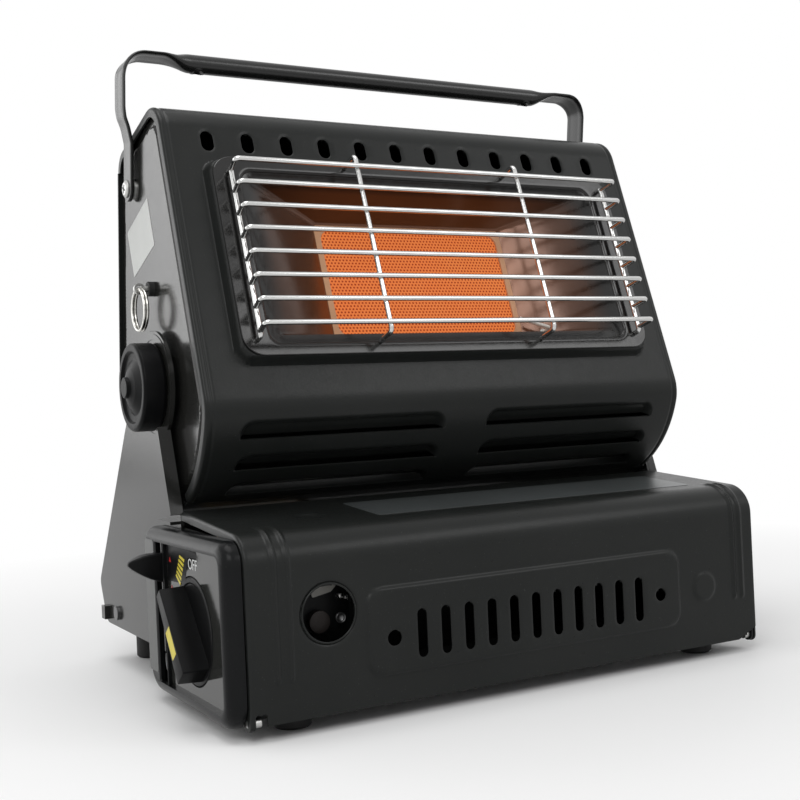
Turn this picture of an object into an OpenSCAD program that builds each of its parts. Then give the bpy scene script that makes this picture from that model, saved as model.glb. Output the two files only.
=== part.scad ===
// Tabletop gas heater: an infrared burner head tilts between two stand plates over a cartridge bay.
// Working frame: x to the right of the mid plane, y back from the lid's front, z up from the floor.
// Head frame: origin on the tilt axis, y through the head from front to back, z up along its face.

/* [Base] */
// Width across the lid and the stand plates
lid_w = 270; // [266:1:280]
// Depth of the lid's top
lid_d = 73; // [70:0.5:73.5]
// Height of the lid's top above the floor, at its front
lid_h = 81; // [79:0.5:82]
// Slope of the lid's top
lid_slope = 0.085; // [0.06:0.005:0.09]
// Outer radius of the bend between the lid's front and top
lid_bend = 14; // [10:0.5:16]
// Height of the front feet, up to the bay floor
foot_h = 8; // [8:0.5:9]
// Height of the rear deck above the floor
deck_h = 20.5; // [18:0.5:24]
// Diameter of the feet
foot_d = 16; // [12:0.5:18]
// Rear end of the deck
deck_y = 208; // [205:0.5:212]

/* [Sheet] */
// Thickness of the lid, tray and head sheets
sheet = 1; // [0.8:0.1:1.1]
// Thickness of the stand plates
plate_t = 1.5; // [1.2:0.1:1.5]

/* [Lid details] */
// Number of upright vent slots in the lid's front
vent_count = 11; // [7:2:11]
// Spacing of the vent slots
vent_pitch = 11.7; // [11:0.1:12.2]
// Width of a vent slot
vent_w = 4.6; // [4:0.1:5.5]
// Height of a vent slot
vent_h = 20.5; // [16:0.5:22]
// Radius of the round window over the regulator
window_r = 12; // [10:0.5:12.5]
// Height of the pressed panel above the lid's front
panel_rise = 1.3; // [0.8:0.1:1.6]

/* [Head] */
// Depth of the tilt axis behind the lid's front
tilt_y = 104; // [103.5:0.5:106]
// Space between the lid's top and the drum over it
drum_gap = 2; // [2:0.5:8]
// Backward lean of the head at rest
lean = 18.9; // [10:0.1:25]
// Radius of the drum that forms the head's belly
drum_r = 60.5; // [59.5:0.5:60.5]
// Height of the head's front top corner above the tilt axis
head_top = 119.7; // [117:0.1:122]
// Depth from the tilt axis to the head's flat front
face_u = 52.5; // [52.5:0.1:53]
// Half width of the reflector opening
mouth_x = 99; // [95:0.5:100]
// Lower edge of the reflector opening
mouth_low = -2.8; // [-4:0.2:-2]
// Upper edge of the reflector opening
mouth_high = 82; // [80:0.5:82.5]
// Number of oval slots above the reflector
head_slot_count = 12; // [8:1:12]
// Spacing of the oval slots
head_slot_pitch = 19.95; // [19:0.05:20]

/* [Guard] */
// Number of level guard wires
wire_count = 8; // [6:1:8]
// Diameter of the guard wires
wire_d = 2.4; // [2:0.1:2.6]
// Distance of the wires in front of the head's face
wire_n = 21; // [19:0.5:22]

/* [Handle] */
// Diameter of the handle's tube
bar_d = 11; // [9:0.5:12]
// Distance from the handle's screws to the middle of its tube
handle_r = 61.8; // [58:0.1:62]
// Forward lean of the handle at rest
handle_lean = 7.9; // [0:0.1:12]

/* [Knobs] */
// Radius of the tilt knobs
tilt_knob_r = 20.5; // [17:0.5:21]
// Radius of the ignition knob
dial_r = 22.8; // [21:0.1:22.8]
// Downward stroke of the cartridge lever
lever_stroke = 43; // [36:0.5:43]
// Stroke of the cartridge fork
fork_stroke = 6; // [4:0.5:6]

/* [Cartridge] */
// Diameter of the gas cartridge that the bay takes
can_d = 68; // [66:0.5:68]
// Height of the cartridge's axis above the floor
can_z = 45; // [44:0.5:45.5]

/* [Hidden] */
$fn = 48;

half_w = lid_w / 2;
run = 0.05;          // running clearance of a pin in its hole
gap = 0.4;           // space between pieces that move past each other
wall_x = half_w - plate_t;
wall_in = wall_x - sheet;
head_x = half_w - 3.4;
side_x = head_x - sheet;
tilt_z = lid_h + drum_gap + drum_r;
bay_back = lid_d + 7;
bay_top = lid_h + lid_slope * bay_back - 3.5;

// Envelope, which centres the whole heater on the origin.
lever_reach = 22;
knob_reach = gap + 14;
rear_corner_y = deck_y + 7.5;
rear_reach = rear_corner_y - 0.86;
centre_x = (knob_reach - lever_reach) / 2;
centre_y = (rear_reach - panel_rise) / 2;

// Lid hinge, low at the front.
hinge_y = 4.5;
hinge_z = 7.5;
hinge_pin_r = 1.5;
lid_foot = 6.5;

// Ignition dial and lever on the left-hand controls.
dial_y = 45.6;
dial_z = 38.9;
lever_y = 84;
lever_z = lid_h - 20;
bezel_low = 4.5;
bezel_top = lid_h - 1.5;
bezel_back = half_w + 0.5;
bezel_front = half_w + 8;
face_front = half_w + 6;

// Head outline: [y, z, radius] of the circles that its sheet bends round.
front_corner = [-face_u + 8, head_top - 8, 8];
top_corner = [5.9, head_top - 3.1, 12];
rear_corner = [48.1, 26, 14];
drum = [0, 0, drum_r];
soft_bend = [-face_u + 20, -sqrt(pow(drum_r - 20, 2) - pow(face_u - 20, 2)), 20];
belly_start = atan2(soft_bend[1], soft_bend[0]);
belly_end = 260.4;
seam = 0.4;
screw_pos = [-1, head_top - 16.5];
ring_pos = [-6.6, 46.9];

// Raised frame round the reflector, and louvers pressed into the belly.
boss_x = 115;
boss_n = 6;
boss_low = -11.5;
boss_high = 91;
louver_span = 8.5;
louver_x = [11.5, 115.5];
louver_edges = [223.7, 239.4, 255.5];
standoff_x = [-96, 96];
standoff_z = [12, 57];

// Bend of the lid's sheet.
lid_bend_z = lid_h + lid_slope * lid_bend - lid_bend * sqrt(1 + lid_slope * lid_slope);
lid_top_angle = 90 + atan(lid_slope);

// Ceramic plaque and its burner box.
plaque_x = 53.5;
plaque_front = -face_u + 20;
plaque_back = plaque_front + 13;
box_low = 8.5;
box_high = 68.5;
sleeve_foot = [62, -25, 1];
sleeve_tip = [62, -42, 7];
sleeve_r = 2.6;

// Fasteners and small pivots.
bolt_r = 3;
screw_r = 2;
ring_pin_r = 1.5;
deck_screw_y = [tilt_y + 14, deck_y - 26];
deck_screw_z = deck_h + 7.5;

// Gas path and cartridge fork.
can_y = 40;
tube_r = 3;
tube_in = [-113, can_y + 10, 71];
riser_x = -61;
burner_u = -12;
follower_x = 121;
cam_y = bay_back - 15.5;
rod_y_pos = cam_y - 4.5;
rod_z = [24, 66];

// ---- Shared helpers ----

function unit(v) = v / norm(v);
function turn(a) = a - 360 * floor((a + 180) / 360);
function reversed(list) = [for (i = [len(list) - 1:-1:0]) list[i]];

// Points along the shorter arc of circle c between two directions, inset by d.
function arc(c, a0, a1, d = 0, steps = 8) =
    [for (i = [0:steps]) let (a = a0 + turn(a1 - a0) * i / steps) [c[0], c[1]] + (c[2] - d) * [cos(a), sin(a)]];

// Direction of the outward normal of the line that touches circles a and b, going round anticlockwise.
function touch(a, b) =
    atan2(b[1] - a[1], b[0] - a[0]) - 90 + asin((a[2] - b[2]) / norm([b[0] - a[0], b[1] - a[1]]));

// Corner p between its neighbours a and b, rounded with the radius in p[2].
function corner(a, p, b, steps = 6) =
    p[2] == 0 ? [[p[0], p[1]]] :
    let (o = [p[0], p[1]], da = unit([a[0], a[1]] - o), db = unit([b[0], b[1]] - o),
         half = acos(da * db) / 2, c = o + unit(da + db) * p[2] / sin(half),
         s = o + da * p[2] / tan(half) - c, e = o + db * p[2] / tan(half) - c,
         a0 = atan2(s[1], s[0]), sweep = turn(atan2(e[1], e[0]) - a0))
    [for (i = [0:steps]) c + p[2] * [cos(a0 + sweep * i / steps), sin(a0 + sweep * i / steps)]];

// Closed outline with rounded corners from [x, y, radius] points.
function rounded(pts) =
    [for (i = [0:len(pts) - 1])
        each corner(pts[(i + len(pts) - 1) % len(pts)], pts[i], pts[(i + 1) % len(pts)])];

function box_pts(x0, y0, x1, y1, r) = [[x0, y0, r], [x1, y0, r], [x1, y1, r], [x0, y1, r]];

// Outline in (y, z) drawn from x0 to x1.
module along_x(x0, x1) {
    translate([x0, 0, 0]) rotate([90, 0, 90]) linear_extrude(x1 - x0) children();
}

// Outline in (x, z) drawn from y0 to y1.
module along_y(y0, y1) {
    translate([0, y1, 0]) rotate([90, 0, 0]) linear_extrude(y1 - y0) children();
}

module rod_x(y, z, r, x0, x1) {
    translate([x0, y, z]) rotate([0, 90, 0]) cylinder(r = r, h = x1 - x0);
}

module rod_y(x, z, r, y0, y1) {
    translate([x, y0, z]) rotate([-90, 0, 0]) cylinder(r = r, h = y1 - y0);
}

module block(from, to) {
    translate(from) cube(to - from);
}

module both_sides() {
    children();
    mirror([1, 0, 0]) children();
}

// Round bar from a to b.
module bar(a, b, r) {
    v = b - a;
    translate(a) rotate([0, acos(v[2] / norm(v)), atan2(v[1], v[0])]) cylinder(r = r, h = norm(v));
}

// Round bar through a list of points, with ball joints at its bends.
module bent_bar(pts, r) {
    for (i = [0:len(pts) - 2]) bar(pts[i], pts[i + 1], r);
    for (i = [1:1:len(pts) - 2]) translate(pts[i]) sphere(r = 1.02 * r);
}

module slot_2d(x, z, w, h) {
    r = min(w, h) / 2;
    translate([x, z]) {
        square([w > h ? w - 2 * r : w, w > h ? h : h - 2 * r], center = true);
        for (s = [-1, 1]) translate(w > h ? [s * (w / 2 - r), 0] : [0, s * (h / 2 - r)]) circle(r = r);
    }
}

module side(s) {
    if (s < 0) mirror([1, 0, 0]) children();
    else children();
}

// Height and depth in the working frame of point p = [y, z] of the head's frame.
function head_y(p) = tilt_y + p[0] * cos(lean) + p[1] * sin(lean);
function head_z(p) = tilt_z - p[0] * sin(lean) + p[1] * cos(lean);

module placed() {
    translate([-centre_x, -centre_y, 0]) children();
}

module in_head() {
    placed() translate([0, tilt_y, tilt_z]) rotate([-lean, 0, 0]) children();
}

// ---- Base ----

// End wall of the bay, with a lug round the lid's hinge pin.
module end_wall_2d() {
    difference() {
        union() {
            translate([hinge_y, hinge_z]) circle(r = 3.1);
            polygon(rounded([
                [hinge_y - 3.1, hinge_z, 0], [hinge_y - 3.1, lid_h - 14, 6], [14, lid_h - 3, 4],
                [bay_back + 1, lid_h - 1, 0], [bay_back + 1, foot_h, 0], [7.6, foot_h, 0],
                [hinge_y, hinge_z - 3.1, 0]
            ]));
        }
        translate([hinge_y, hinge_z]) circle(r = hinge_pin_r + run);
    }
}

module base_tray() {
    color("#26282a") placed() difference() {
        union() {
            block([-wall_in, 7.6, foot_h], [wall_in, bay_back + 1, foot_h + sheet]);
            block([-wall_in, 6.6, foot_h], [wall_in, 7.6, foot_h + 8]);
            both_sides() along_x(wall_in, wall_x) end_wall_2d();
        }
        rod_x(dial_y, dial_z, 8, -half_w, -wall_in + 1);
        block([-half_w, cam_y + 4.5, 10], [-wall_in + 1, cam_y + 9.5, lid_h - 14]);
    }
}

// Rear wall of the bay, whose top flange carries the lid's free edge.
module bay_wall() {
    flange_y = lid_d - 5;
    color("#26282a") placed() difference() {
        union() {
            block([-wall_in, bay_back, foot_h + sheet], [wall_in, bay_back + 1, bay_top]);
            block([-wall_in, flange_y, bay_top], [wall_in, bay_back + 1, bay_top + sheet]);
            block([-wall_in, flange_y, bay_top - 3], [wall_in, flange_y + sheet, bay_top]);
        }
        rod_y(tube_in[0], tube_in[2], tube_r + 1.5, bay_back - 1, bay_back + 3);
    }
}

module rear_deck() {
    top = deck_h + sheet;
    color("#26282a") placed() difference() {
        union() {
            block([-wall_in, bay_back + 1, deck_h], [wall_in, deck_y, top]);
            block([-wall_in, bay_back + 1, top], [wall_in, bay_back + 2, top + 12]);
            block([-wall_in, deck_y - sheet, top], [wall_in, deck_y, top + 8]);
            both_sides() block([wall_in, bay_back + 4, deck_h], [wall_x, deck_y - 4, top + 13]);
        }
        for (y = deck_screw_y) rod_x(y, deck_screw_z, screw_r, -half_w, half_w);
    }
}

// Pair of rails, each with an edge that leans out to hold the round cartridge.
module cradle_rails() {
    floor_z = foot_h + sheet;
    low = can_z - sqrt(pow(can_d / 2 + gap, 2) - 16 * 16);
    color("#2c2e30") placed() for (s = [-1, 1]) {
        along_x(-62, 108) polygon([
            [can_y + s * 15, floor_z], [can_y + s * 27, floor_z], [can_y + s * 27, floor_z + sheet],
            [can_y + s * 17, floor_z + sheet], [can_y + s * 17, low], [can_y + s * 15.5, low - 1]
        ]);
    }
}

// Magnet that holds the lid's free edge.
module lid_catch() {
    color("#77797c") placed() difference() {
        block([92, lid_d - 4, bay_top - 9], [116, lid_d + 6, bay_top]);
        rod_y(104, bay_top - 4.5, 1.6, lid_d - 5, lid_d + 7);
    }
}

// Stand plate: round ear on the tilt axis, sloping rear edge, level foot.
module plate_2d() {
    translate([tilt_y, tilt_z]) circle(r = 26);
    polygon(rounded([
        [tilt_y - 16, tilt_z - 18.5, 0], [lid_d + 0.8, bay_top, 4], [lid_d + 2, lid_h - 6, 0],
        [lid_d + 2, deck_h, 0], [deck_y - 3, deck_h, 8], [rear_corner_y, deck_h + 21.1, 5],
        [tilt_y + 51.7, tilt_z - 21.3, 60], [tilt_y + 19.9, tilt_z + 16.7, 0]
    ]));
}

// Right-hand plate. Its front edge turns outward as a stiffening flange, above a small shelf.
module stand_plate() {
    flange_top = [tilt_y - 16, tilt_z - 18.5];
    flange_low = [lid_d + 1.2, lid_h + 5];
    color("#1f2022") difference() {
        union() {
            along_x(wall_x, half_w) plate_2d();
            along_x(half_w, half_w + 0.3) difference() {
                translate([tilt_y, tilt_z]) circle(r = 24.5);
                translate([tilt_y, tilt_z]) circle(r = 22);
            }
            along_x(half_w, half_w + 4.5) polygon([
                flange_top, flange_low, flange_low + [1.6, -0.4], flange_top + [1.6, -0.5]
            ]);
            block([half_w, lid_d + 2.4, lid_h + 0.4], [half_w + 4.5, lid_d + 22, lid_h + 1.8]);
            block([half_w, deck_y - 8, deck_h + 2], [half_w + 2.5, deck_y - 2, deck_h + 9]);
        }
        rod_x(tilt_y, tilt_z, bolt_r + run, wall_x - 1, half_w + 2);
        for (y = deck_screw_y) rod_x(y, deck_screw_z, screw_r, wall_x - 1, half_w + 1);
    }
}

module stand_plate_left() {
    placed() side(-1) stand_plate();
}

module stand_plate_right() {
    placed() side(1) stand_plate();
}

module foot(x, y, h) {
    translate([x, y, 0]) rotate_extrude() polygon([
        [0, 0], [foot_d / 2 - 1, 0], [foot_d / 2, 1], [foot_d / 2, h], [0, h]
    ]);
}

module front_feet() {
    color("#141414") placed() for (x = [-110, 110]) foot(x, 18, foot_h);
}

module rear_feet() {
    color("#141414") placed() for (x = [-113, 113]) foot(x, deck_y - 9, deck_h);
}

module deck_screws() {
    color("#3a3b3d") placed() both_sides() for (y = deck_screw_y) {
        rod_x(y, deck_screw_z, screw_r, wall_in - 3, half_w);
        rod_x(y, deck_screw_z, 3.6, half_w, half_w + 1.6);
    }
}

// ---- Controls ----

// Outline of the bezel, inset by d.
module bezel_2d(d = 0) {
    polygon(rounded([
        [2 + d, bezel_low + d, 12 - d], [106 - d, bezel_low + d, 14 - d],
        [106 - d, bezel_top - d, 6 - d / 2], [2 + d, bezel_top - d, 10 - d]
    ]));
}

module control_face_2d() {
    polygon(rounded([
        [8, bezel_low + 3.5, 8], [78, bezel_low + 3.5, 1.2], [78, bezel_top - 4, 1.2], [8, bezel_top - 4, 8]
    ]));
}

// Moulded hood over the controls: a shell with broad round edges, open at the back.
module control_bezel() {
    color("#17181a") placed() side(-1) {
        difference() {
            hull() for (a = [0:22.5:90]) {
                along_x(bezel_back, bezel_front - 5 * (1 - sin(a)) - 0.01) bezel_2d(5 * (1 - cos(a)));
            }
            along_x(bezel_back - 1, bezel_front - 3) bezel_2d(2.5);
            along_x(bezel_back, bezel_front + 1) control_face_2d();
            along_x(bezel_back, bezel_front + 1)
                polygon(rounded(box_pts(lever_y - 4.8, bezel_low + 6, lever_y + 4.8, bezel_top - 3, 1)));
        }
        difference() {
            along_x(face_front - 3.2, bezel_front - 2.5)
                polygon(rounded(box_pts(6.8, bezel_low + 2.3, 79.2, bezel_top - 2.8, 6)));
            along_x(face_front - 2, bezel_front) control_face_2d();
            rod_x(dial_y, dial_z, dial_r + 0.5, bezel_back, face_front);
        }
        for (p = [[20, 16], [20, bezel_top - 15.5], [60, 15]]) rod_x(p[0], p[1], 3, wall_x, face_front - 2.5);
        rod_x(98, 42, 3, half_w, bezel_front - 2);
    }
}

module control_face() {
    color("#8b8f92") placed() side(-1) difference() {
        along_x(face_front - 2, face_front) control_face_2d();
        rod_x(dial_y, dial_z, dial_r + 0.5, face_front - 3, face_front + 1);
    }
}

// Dial with a raised grip across it, which leans with its top to the rear.
module dial_knob() {
    color("#111214") placed() side(-1) difference() {
        union() {
            rod_x(dial_y, dial_z, dial_r, face_front - 2.8, face_front + 0.3);
            rod_x(dial_y, dial_z, 7.5, wall_x + 0.6, face_front - 2.8);
            translate([0, dial_y, dial_z]) rotate([-38, 0, 0]) {
                along_x(face_front, face_front + 4) slot_2d(0, 0, 12, 43);
                along_x(face_front + 4, face_front + 11) slot_2d(0, 0, 8, 40);
            }
        }
        rod_x(dial_y, dial_z, 3, wall_x, face_front - 1);
    }
}

module dial_spindle() {
    color("#b9bbbd") placed() side(-1) rod_x(dial_y, dial_z, 3, 118, face_front - 1);
}

// Lever: pointed grip outside, slide plate inside the bezel, tab and pin that reach into the bay.
module cartridge_lever() {
    tab_y = cam_y + 5.1;
    color("#101113") placed() side(-1) {
        along_y(lever_y - 4, lever_y + 4) polygon([
            [half_w + 1, lever_z - 6.5], [face_front + 3, lever_z - 6.5], [half_w + 22, lever_z + 2],
            [half_w + 22, lever_z + 3.6], [face_front + 3, lever_z + 6.5], [half_w + 1, lever_z + 6.5]
        ]);
        block([half_w + 0.9, tab_y, lever_z - 8], [half_w + 2.4, lever_y + 4, lever_z + 8]);
        block([follower_x - 2.5, tab_y, lever_z - 4], [half_w + 0.9, tab_y + 3.8, lever_z + 4]);
        rod_y(follower_x, lever_z, 1.5, cam_y - 0.9, tab_y);
    }
}

// Fork: a plate cam whose slanting slot the lever's pin pulls, and a claw round the cartridge's neck.
module cartridge_fork() {
    slant = atan(fork_stroke / lever_stroke);
    low_z = lever_z - lever_stroke;
    back = cam_y + 3;
    color("#9a9c9f") placed() side(-1) difference() {
        union() {
            block([follower_x - fork_stroke - 6, cam_y, low_z - 4], [follower_x + 4.5, back, lever_z + 5]);
            block([87.5, cam_y, 38], [follower_x - fork_stroke - 6, back, 52]);
            block([87.5, can_y - 24, 18], [90, back, 70]);
        }
        translate([follower_x, cam_y - 1, lever_z]) rotate([0, slant, 0]) {
            block([-1.65, 0, -lever_stroke / cos(slant)], [1.65, 5, 0]);
            for (z = [0, -lever_stroke / cos(slant)]) rod_y(0, z, 1.65, 0, 5);
        }
        rod_x(can_y, can_z, 15, 87, 91);
        block([87, can_y - 25, can_z - 15], [91, can_y, can_z + 15]);
        for (z = rod_z) rod_x(rod_y_pos, z, 2 + run, 87, 91);
    }
}

module regulator_body() {
    color("#3a3c40") placed() side(-1) difference() {
        union() {
            block([110, can_y - 12, 27], [130.5, cam_y - 6.5, 58]);
            rod_x(can_y, can_z, 12, 98, 110);
            rod_x(can_y, can_z, 4.5, 94, 98);
            translate([-tube_in[0], tube_in[1], 56]) cylinder(r = 5, h = 6);
        }
        rod_x(dial_y, dial_z, 3 + run, 117, 131);
        rod_x(can_y, can_z, 1.5, 93, 104);
    }
}

module regulator_bracket() {
    color("#55585b") placed() side(-1) difference() {
        union() {
            block([104, 14, foot_h + sheet], [106, bay_back - 1, 74]);
            block([106, 14, foot_h + sheet], [118, 60, foot_h + 2 * sheet]);
        }
        rod_x(can_y, can_z, 12, 103, 107);
        block([103, cam_y - 2.5, 36], [107, cam_y + 5.5, 54]);
        for (z = rod_z) rod_x(rod_y_pos, z, 2, 103, 107);
    }
}

module guide_rods() {
    color("#b9bbbd") placed() side(-1) for (z = rod_z) rod_x(rod_y_pos, z, 2, 78, 106);
}

module piezo_igniter() {
    color("#ececec") placed() side(-1) {
        block([112, 30, foot_h + 2 * sheet], [130, 44, 24]);
        rod_x(37, 17, 2, 106, 112);
    }
}

// ---- Lid ----

// Side view of the lid's sheet, inset by d: up the front, round the bend, back to the free edge.
function lid_line(d) = concat(
    [[d, lid_foot]],
    arc([lid_bend, lid_bend_z, lid_bend], 180, lid_top_angle, d, 10),
    [[lid_d, lid_h + lid_slope * lid_d - d]]
);

// Pressed rib over the bend at x, from height z0 on the front to the rear edge.
module lid_rib(x, z0) {
    r = 1.4;
    rise = lid_bend - 0.5;
    translate([x, 0.5, z0]) cylinder(r = r, h = lid_bend_z - z0);
    translate([x, 0.5, z0]) sphere(r = r);
    translate([x, lid_bend, lid_bend_z]) rotate([90, 0, -90])
        rotate_extrude(angle = lid_top_angle - 90) translate([rise, 0]) circle(r = r);
}

// Places its children on the lid's top, at the bottom of the shallow dimple.
module lid_dimple() {
    y = 33.8;
    translate([-91, y, lid_h + lid_slope * y]) rotate([atan(lid_slope), 0, 0]) translate([0, 0, -sheet - 0.9])
        children();
}

module cartridge_lid() {
    hem_x = half_w - sheet;
    color("#202123") placed() difference() {
        union() {
            along_x(-half_w, half_w) polygon(concat(lid_line(0), reversed(lid_line(sheet))));
            both_sides() {
                along_x(hem_x, half_w) polygon(concat(lid_line(0), reversed(lid_line(3.4))));
                along_x(hem_x, half_w) polygon(rounded([
                    [0, 14, 0], [0, lid_foot, 0], [hinge_y - 1, hinge_z - 3.5, 3], [hinge_y + 3.5, hinge_z - 3.5, 3.4],
                    [hinge_y + 3.5, hinge_z + 3.5, 3], [3.4, 14, 0]
                ]));
            }
            hull() {
                along_y(-0.02, 0.5) polygon(rounded(box_pts(-83.5, 18, 85.8, 55.6, 7)));
                along_y(-panel_rise, 0) polygon(rounded(box_pts(-81.7, 19.8, 84, 53.8, 6)));
            }
            along_y(-0.8, 1.6) translate([-99.4, 47.4]) circle(r = window_r + 1.3);
            along_y(-0.9, 0.5) translate([101.3, 35.2]) circle(r = 6.7);
            lid_dimple() cylinder(r = 7.2, h = 1.4);
        }
        lid_dimple() translate([0, 0, sheet]) cylinder(r = 6.2, h = 3);
        along_y(-panel_rise + sheet, sheet + 1) polygon(rounded(box_pts(-80.7, 20.8, 83, 52.8, 5)));
        for (i = [0:vent_count - 1]) {
            along_y(-5, 5) slot_2d(1.5 + (i - (vent_count - 1) / 2) * vent_pitch, 34.1, vent_w, vent_h);
        }
        along_y(-5, 5) translate([-70.4, 33.7]) circle(r = 3.3);
        along_y(-5, 5) translate([73.1, 34.7]) circle(r = 3);
        along_y(-5, 5) translate([-99.4, 47.4]) circle(r = window_r);
        along_y(-1, 1.5) polygon([[half_w - 13.3, 0], [half_w - 13.3, 6.1], [half_w - sheet, 12.1], [half_w - sheet, 0]]);
        along_y(-1, 1.5) polygon(rounded([
            [-half_w + 2, 0, 0], [-half_w + 7, 0, 0], [-half_w + 7, 12, 1.5], [-half_w + 2, 12, 1.5]
        ]));
        both_sides() rod_x(hinge_y, hinge_z, hinge_pin_r, hem_x - 1, half_w + 1);
    }
    color("#202123") placed() for (x = [-122.6, -116.8]) lid_rib(x, 22);
    color("#202123") placed() for (x = [121, 126]) lid_rib(x, 27);
}

module lid_pins() {
    color("#b9bbbd") placed() both_sides() {
        rod_x(hinge_y, hinge_z, hinge_pin_r, wall_in - 2, half_w);
        rod_x(hinge_y, hinge_z, 2, wall_in - 3, wall_in - gap);
    }
}

// ---- Gas path ----

module gas_tube() {
    color("#b48a4a") placed() bent_bar([
        [tube_in[0], tube_in[1], 62], tube_in, [tube_in[0], tilt_y - 10, tube_in[2]],
        [riser_x, tilt_y, tube_in[2]], [riser_x, tilt_y, tilt_z - 9]
    ], tube_r);
}

module swivel_union() {
    color("#c8a24e") placed() difference() {
        union() {
            rod_x(tilt_y, tilt_z, 6, riser_x - 6, riser_x + 6);
            translate([riser_x, tilt_y, tilt_z - 9]) cylinder(r = 4, h = 6);
        }
        rod_x(tilt_y, tilt_z, tube_r + run, riser_x - 0.5, riser_x + 7);
    }
}

module burner_tube() {
    color("#b48a4a") in_head() bent_bar([
        [riser_x, 0, 0], [-42, 0, 0], [-42, burner_u, -32], [-24, burner_u, -32], [-24, burner_u, -20]
    ], tube_r);
}

module injector() {
    color("#c8a24e") in_head() translate([-24, burner_u, -20]) difference() {
        union() {
            cylinder(r = 4, h = 12);
            translate([0, 0, 5]) cylinder(r = 8, h = 1);
        }
        translate([0, 0, 4]) cylinder(r = 1, h = 9);
    }
}

module venturi_tube() {
    color("#8f9296") in_head() translate([-24, burner_u, -14]) difference() {
        cylinder(r = 8, h = box_low + 14);
        translate([0, 0, -1]) cylinder(r = 6.5, h = box_low + 16);
        for (a = [0, 90]) rotate([0, 0, a]) rod_x(0, 4, 2.4, -9, 9);
    }
}

// ---- Burner ----

module burner_box() {
    color("#6d7074") in_head() difference() {
        block([-plaque_x, plaque_back, box_low], [plaque_x, plaque_back + 16, box_high]);
        block([-plaque_x + 1, plaque_back - 1, box_low + 1], [plaque_x - 1, plaque_back + 15, box_high - 1]);
        translate([-24, burner_u, box_low - 1]) cylinder(r = 6.5, h = 3);
    }
}

module ceramic_plaque() {
    color("#d8703c") in_head()
        block([-plaque_x, plaque_front, box_low], [plaque_x, plaque_back, box_high]);
}

module plaque_frame() {
    color("#4d3328") in_head() difference() {
        block([-plaque_x - 4, plaque_front - sheet, box_low - 4], [plaque_x + 4, plaque_back - 1, box_high + 4]);
        along_y(plaque_front - 2, plaque_back) polygon(rounded(box_pts(-51.3, 10.5, 51.3, 66.5, 5)));
        block([-plaque_x, plaque_front, box_low], [plaque_x, plaque_back + 4, box_high]);
        difference() {
            block([-plaque_x - 5, plaque_front, box_low - 5], [plaque_x + 5, plaque_back + 4, box_high + 5]);
            block([-plaque_x - 1, plaque_front - 1, box_low - 1], [plaque_x + 1, plaque_back + 5, box_high + 1]);
        }
    }
}

// Thin rectangle across the head at depth u.
module pan_section(x, low, high, u) {
    block([-x, u - 0.02, low], [x, u + 0.02, high]);
}

// Sloping pan from the plaque out to a flat flange on the head's raised front.
module reflector_pan() {
    rim_u = -face_u - boss_n;
    deep_u = plaque_front - sheet;
    color("#4a3024") in_head() difference() {
        union() {
            along_y(rim_u - 1.15, rim_u) polygon(rounded(box_pts(-112.6, mouth_low - 6.2, 112.6, mouth_high + 7.3, 10)));
            hull() {
                pan_section(mouth_x + 0.8, mouth_low - 0.8, mouth_high + 0.8, rim_u);
                pan_section(54.8, 7.2, 69.8, deep_u - 0.02);
            }
        }
        hull() {
            pan_section(mouth_x + 0.2, mouth_low - 0.2, mouth_high + 0.2, rim_u - 1.3);
            pan_section(54, 8, 69, deep_u + 0.1);
        }
        bar(sleeve_foot, sleeve_tip, sleeve_r);
    }
}

// Spark electrode: a ceramic sleeve through the pan's wall with a bent wire.
module electrode() {
    color("#e9e6df") in_head() bar(sleeve_foot, sleeve_tip, sleeve_r);
    color("#b9bbbd") in_head() bent_bar([sleeve_tip, sleeve_tip + [0, -4, 1.4], sleeve_tip + [-12, 2, 9]], 0.9);
}

// ---- Head shell ----

// Sheet line of the front shell, inset by d: over the top, down the front and round the belly.
function wrap_line(d) = concat(
    arc(top_corner, touch(rear_corner, top_corner), touch(top_corner, front_corner), d),
    arc(front_corner, touch(top_corner, front_corner), 180, d),
    arc(soft_bend, 180, belly_start, d, 6),
    arc(drum, belly_start, belly_end, d, 12)
);

// Rear sheet, from the seam under the belly round the drum and up the back.
function drum_back(d) = arc(drum, belly_end + seam, touch(drum, rear_corner), d, 16);

function rear_line(d) = concat(
    drum_back(d),
    arc(rear_corner, touch(drum, rear_corner), touch(rear_corner, top_corner), d),
    [arc(top_corner, touch(rear_corner, top_corner), 90, d)[0]]
);

function head_outline(d) = concat(
    arc(rear_corner, touch(drum, rear_corner), touch(rear_corner, top_corner), d),
    wrap_line(d),
    drum_back(d)
);

function drum_point(r, a) = r * [cos(a), sin(a)];

// Louver pressed inward from the belly: its lower edge at angle a is cut free.
module louver_2d(a) {
    top = a - louver_span;
    polygon([drum_point(drum_r - 0.2, top - 1), drum_point(drum_r - 4.2, a), drum_point(drum_r - 5.2, a),
        drum_point(drum_r - 0.9 * sheet, top - 1)]);
}

module louver_end_2d(a) {
    top = a - louver_span;
    polygon([drum_point(drum_r - 0.6, top - 0.5), drum_point(drum_r - 4.6, a - 0.3), drum_point(drum_r - 0.2, a - 0.3),
        drum_point(drum_r - 0.3, a - louver_span / 2)]);
}

module louver_hole_2d(a) {
    top = a - louver_span;
    polygon(concat(arc([0, 0, drum_r + 1], top, a), [drum_point(drum_r - 2, a), drum_point(drum_r - 2, top)]));
}

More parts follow.
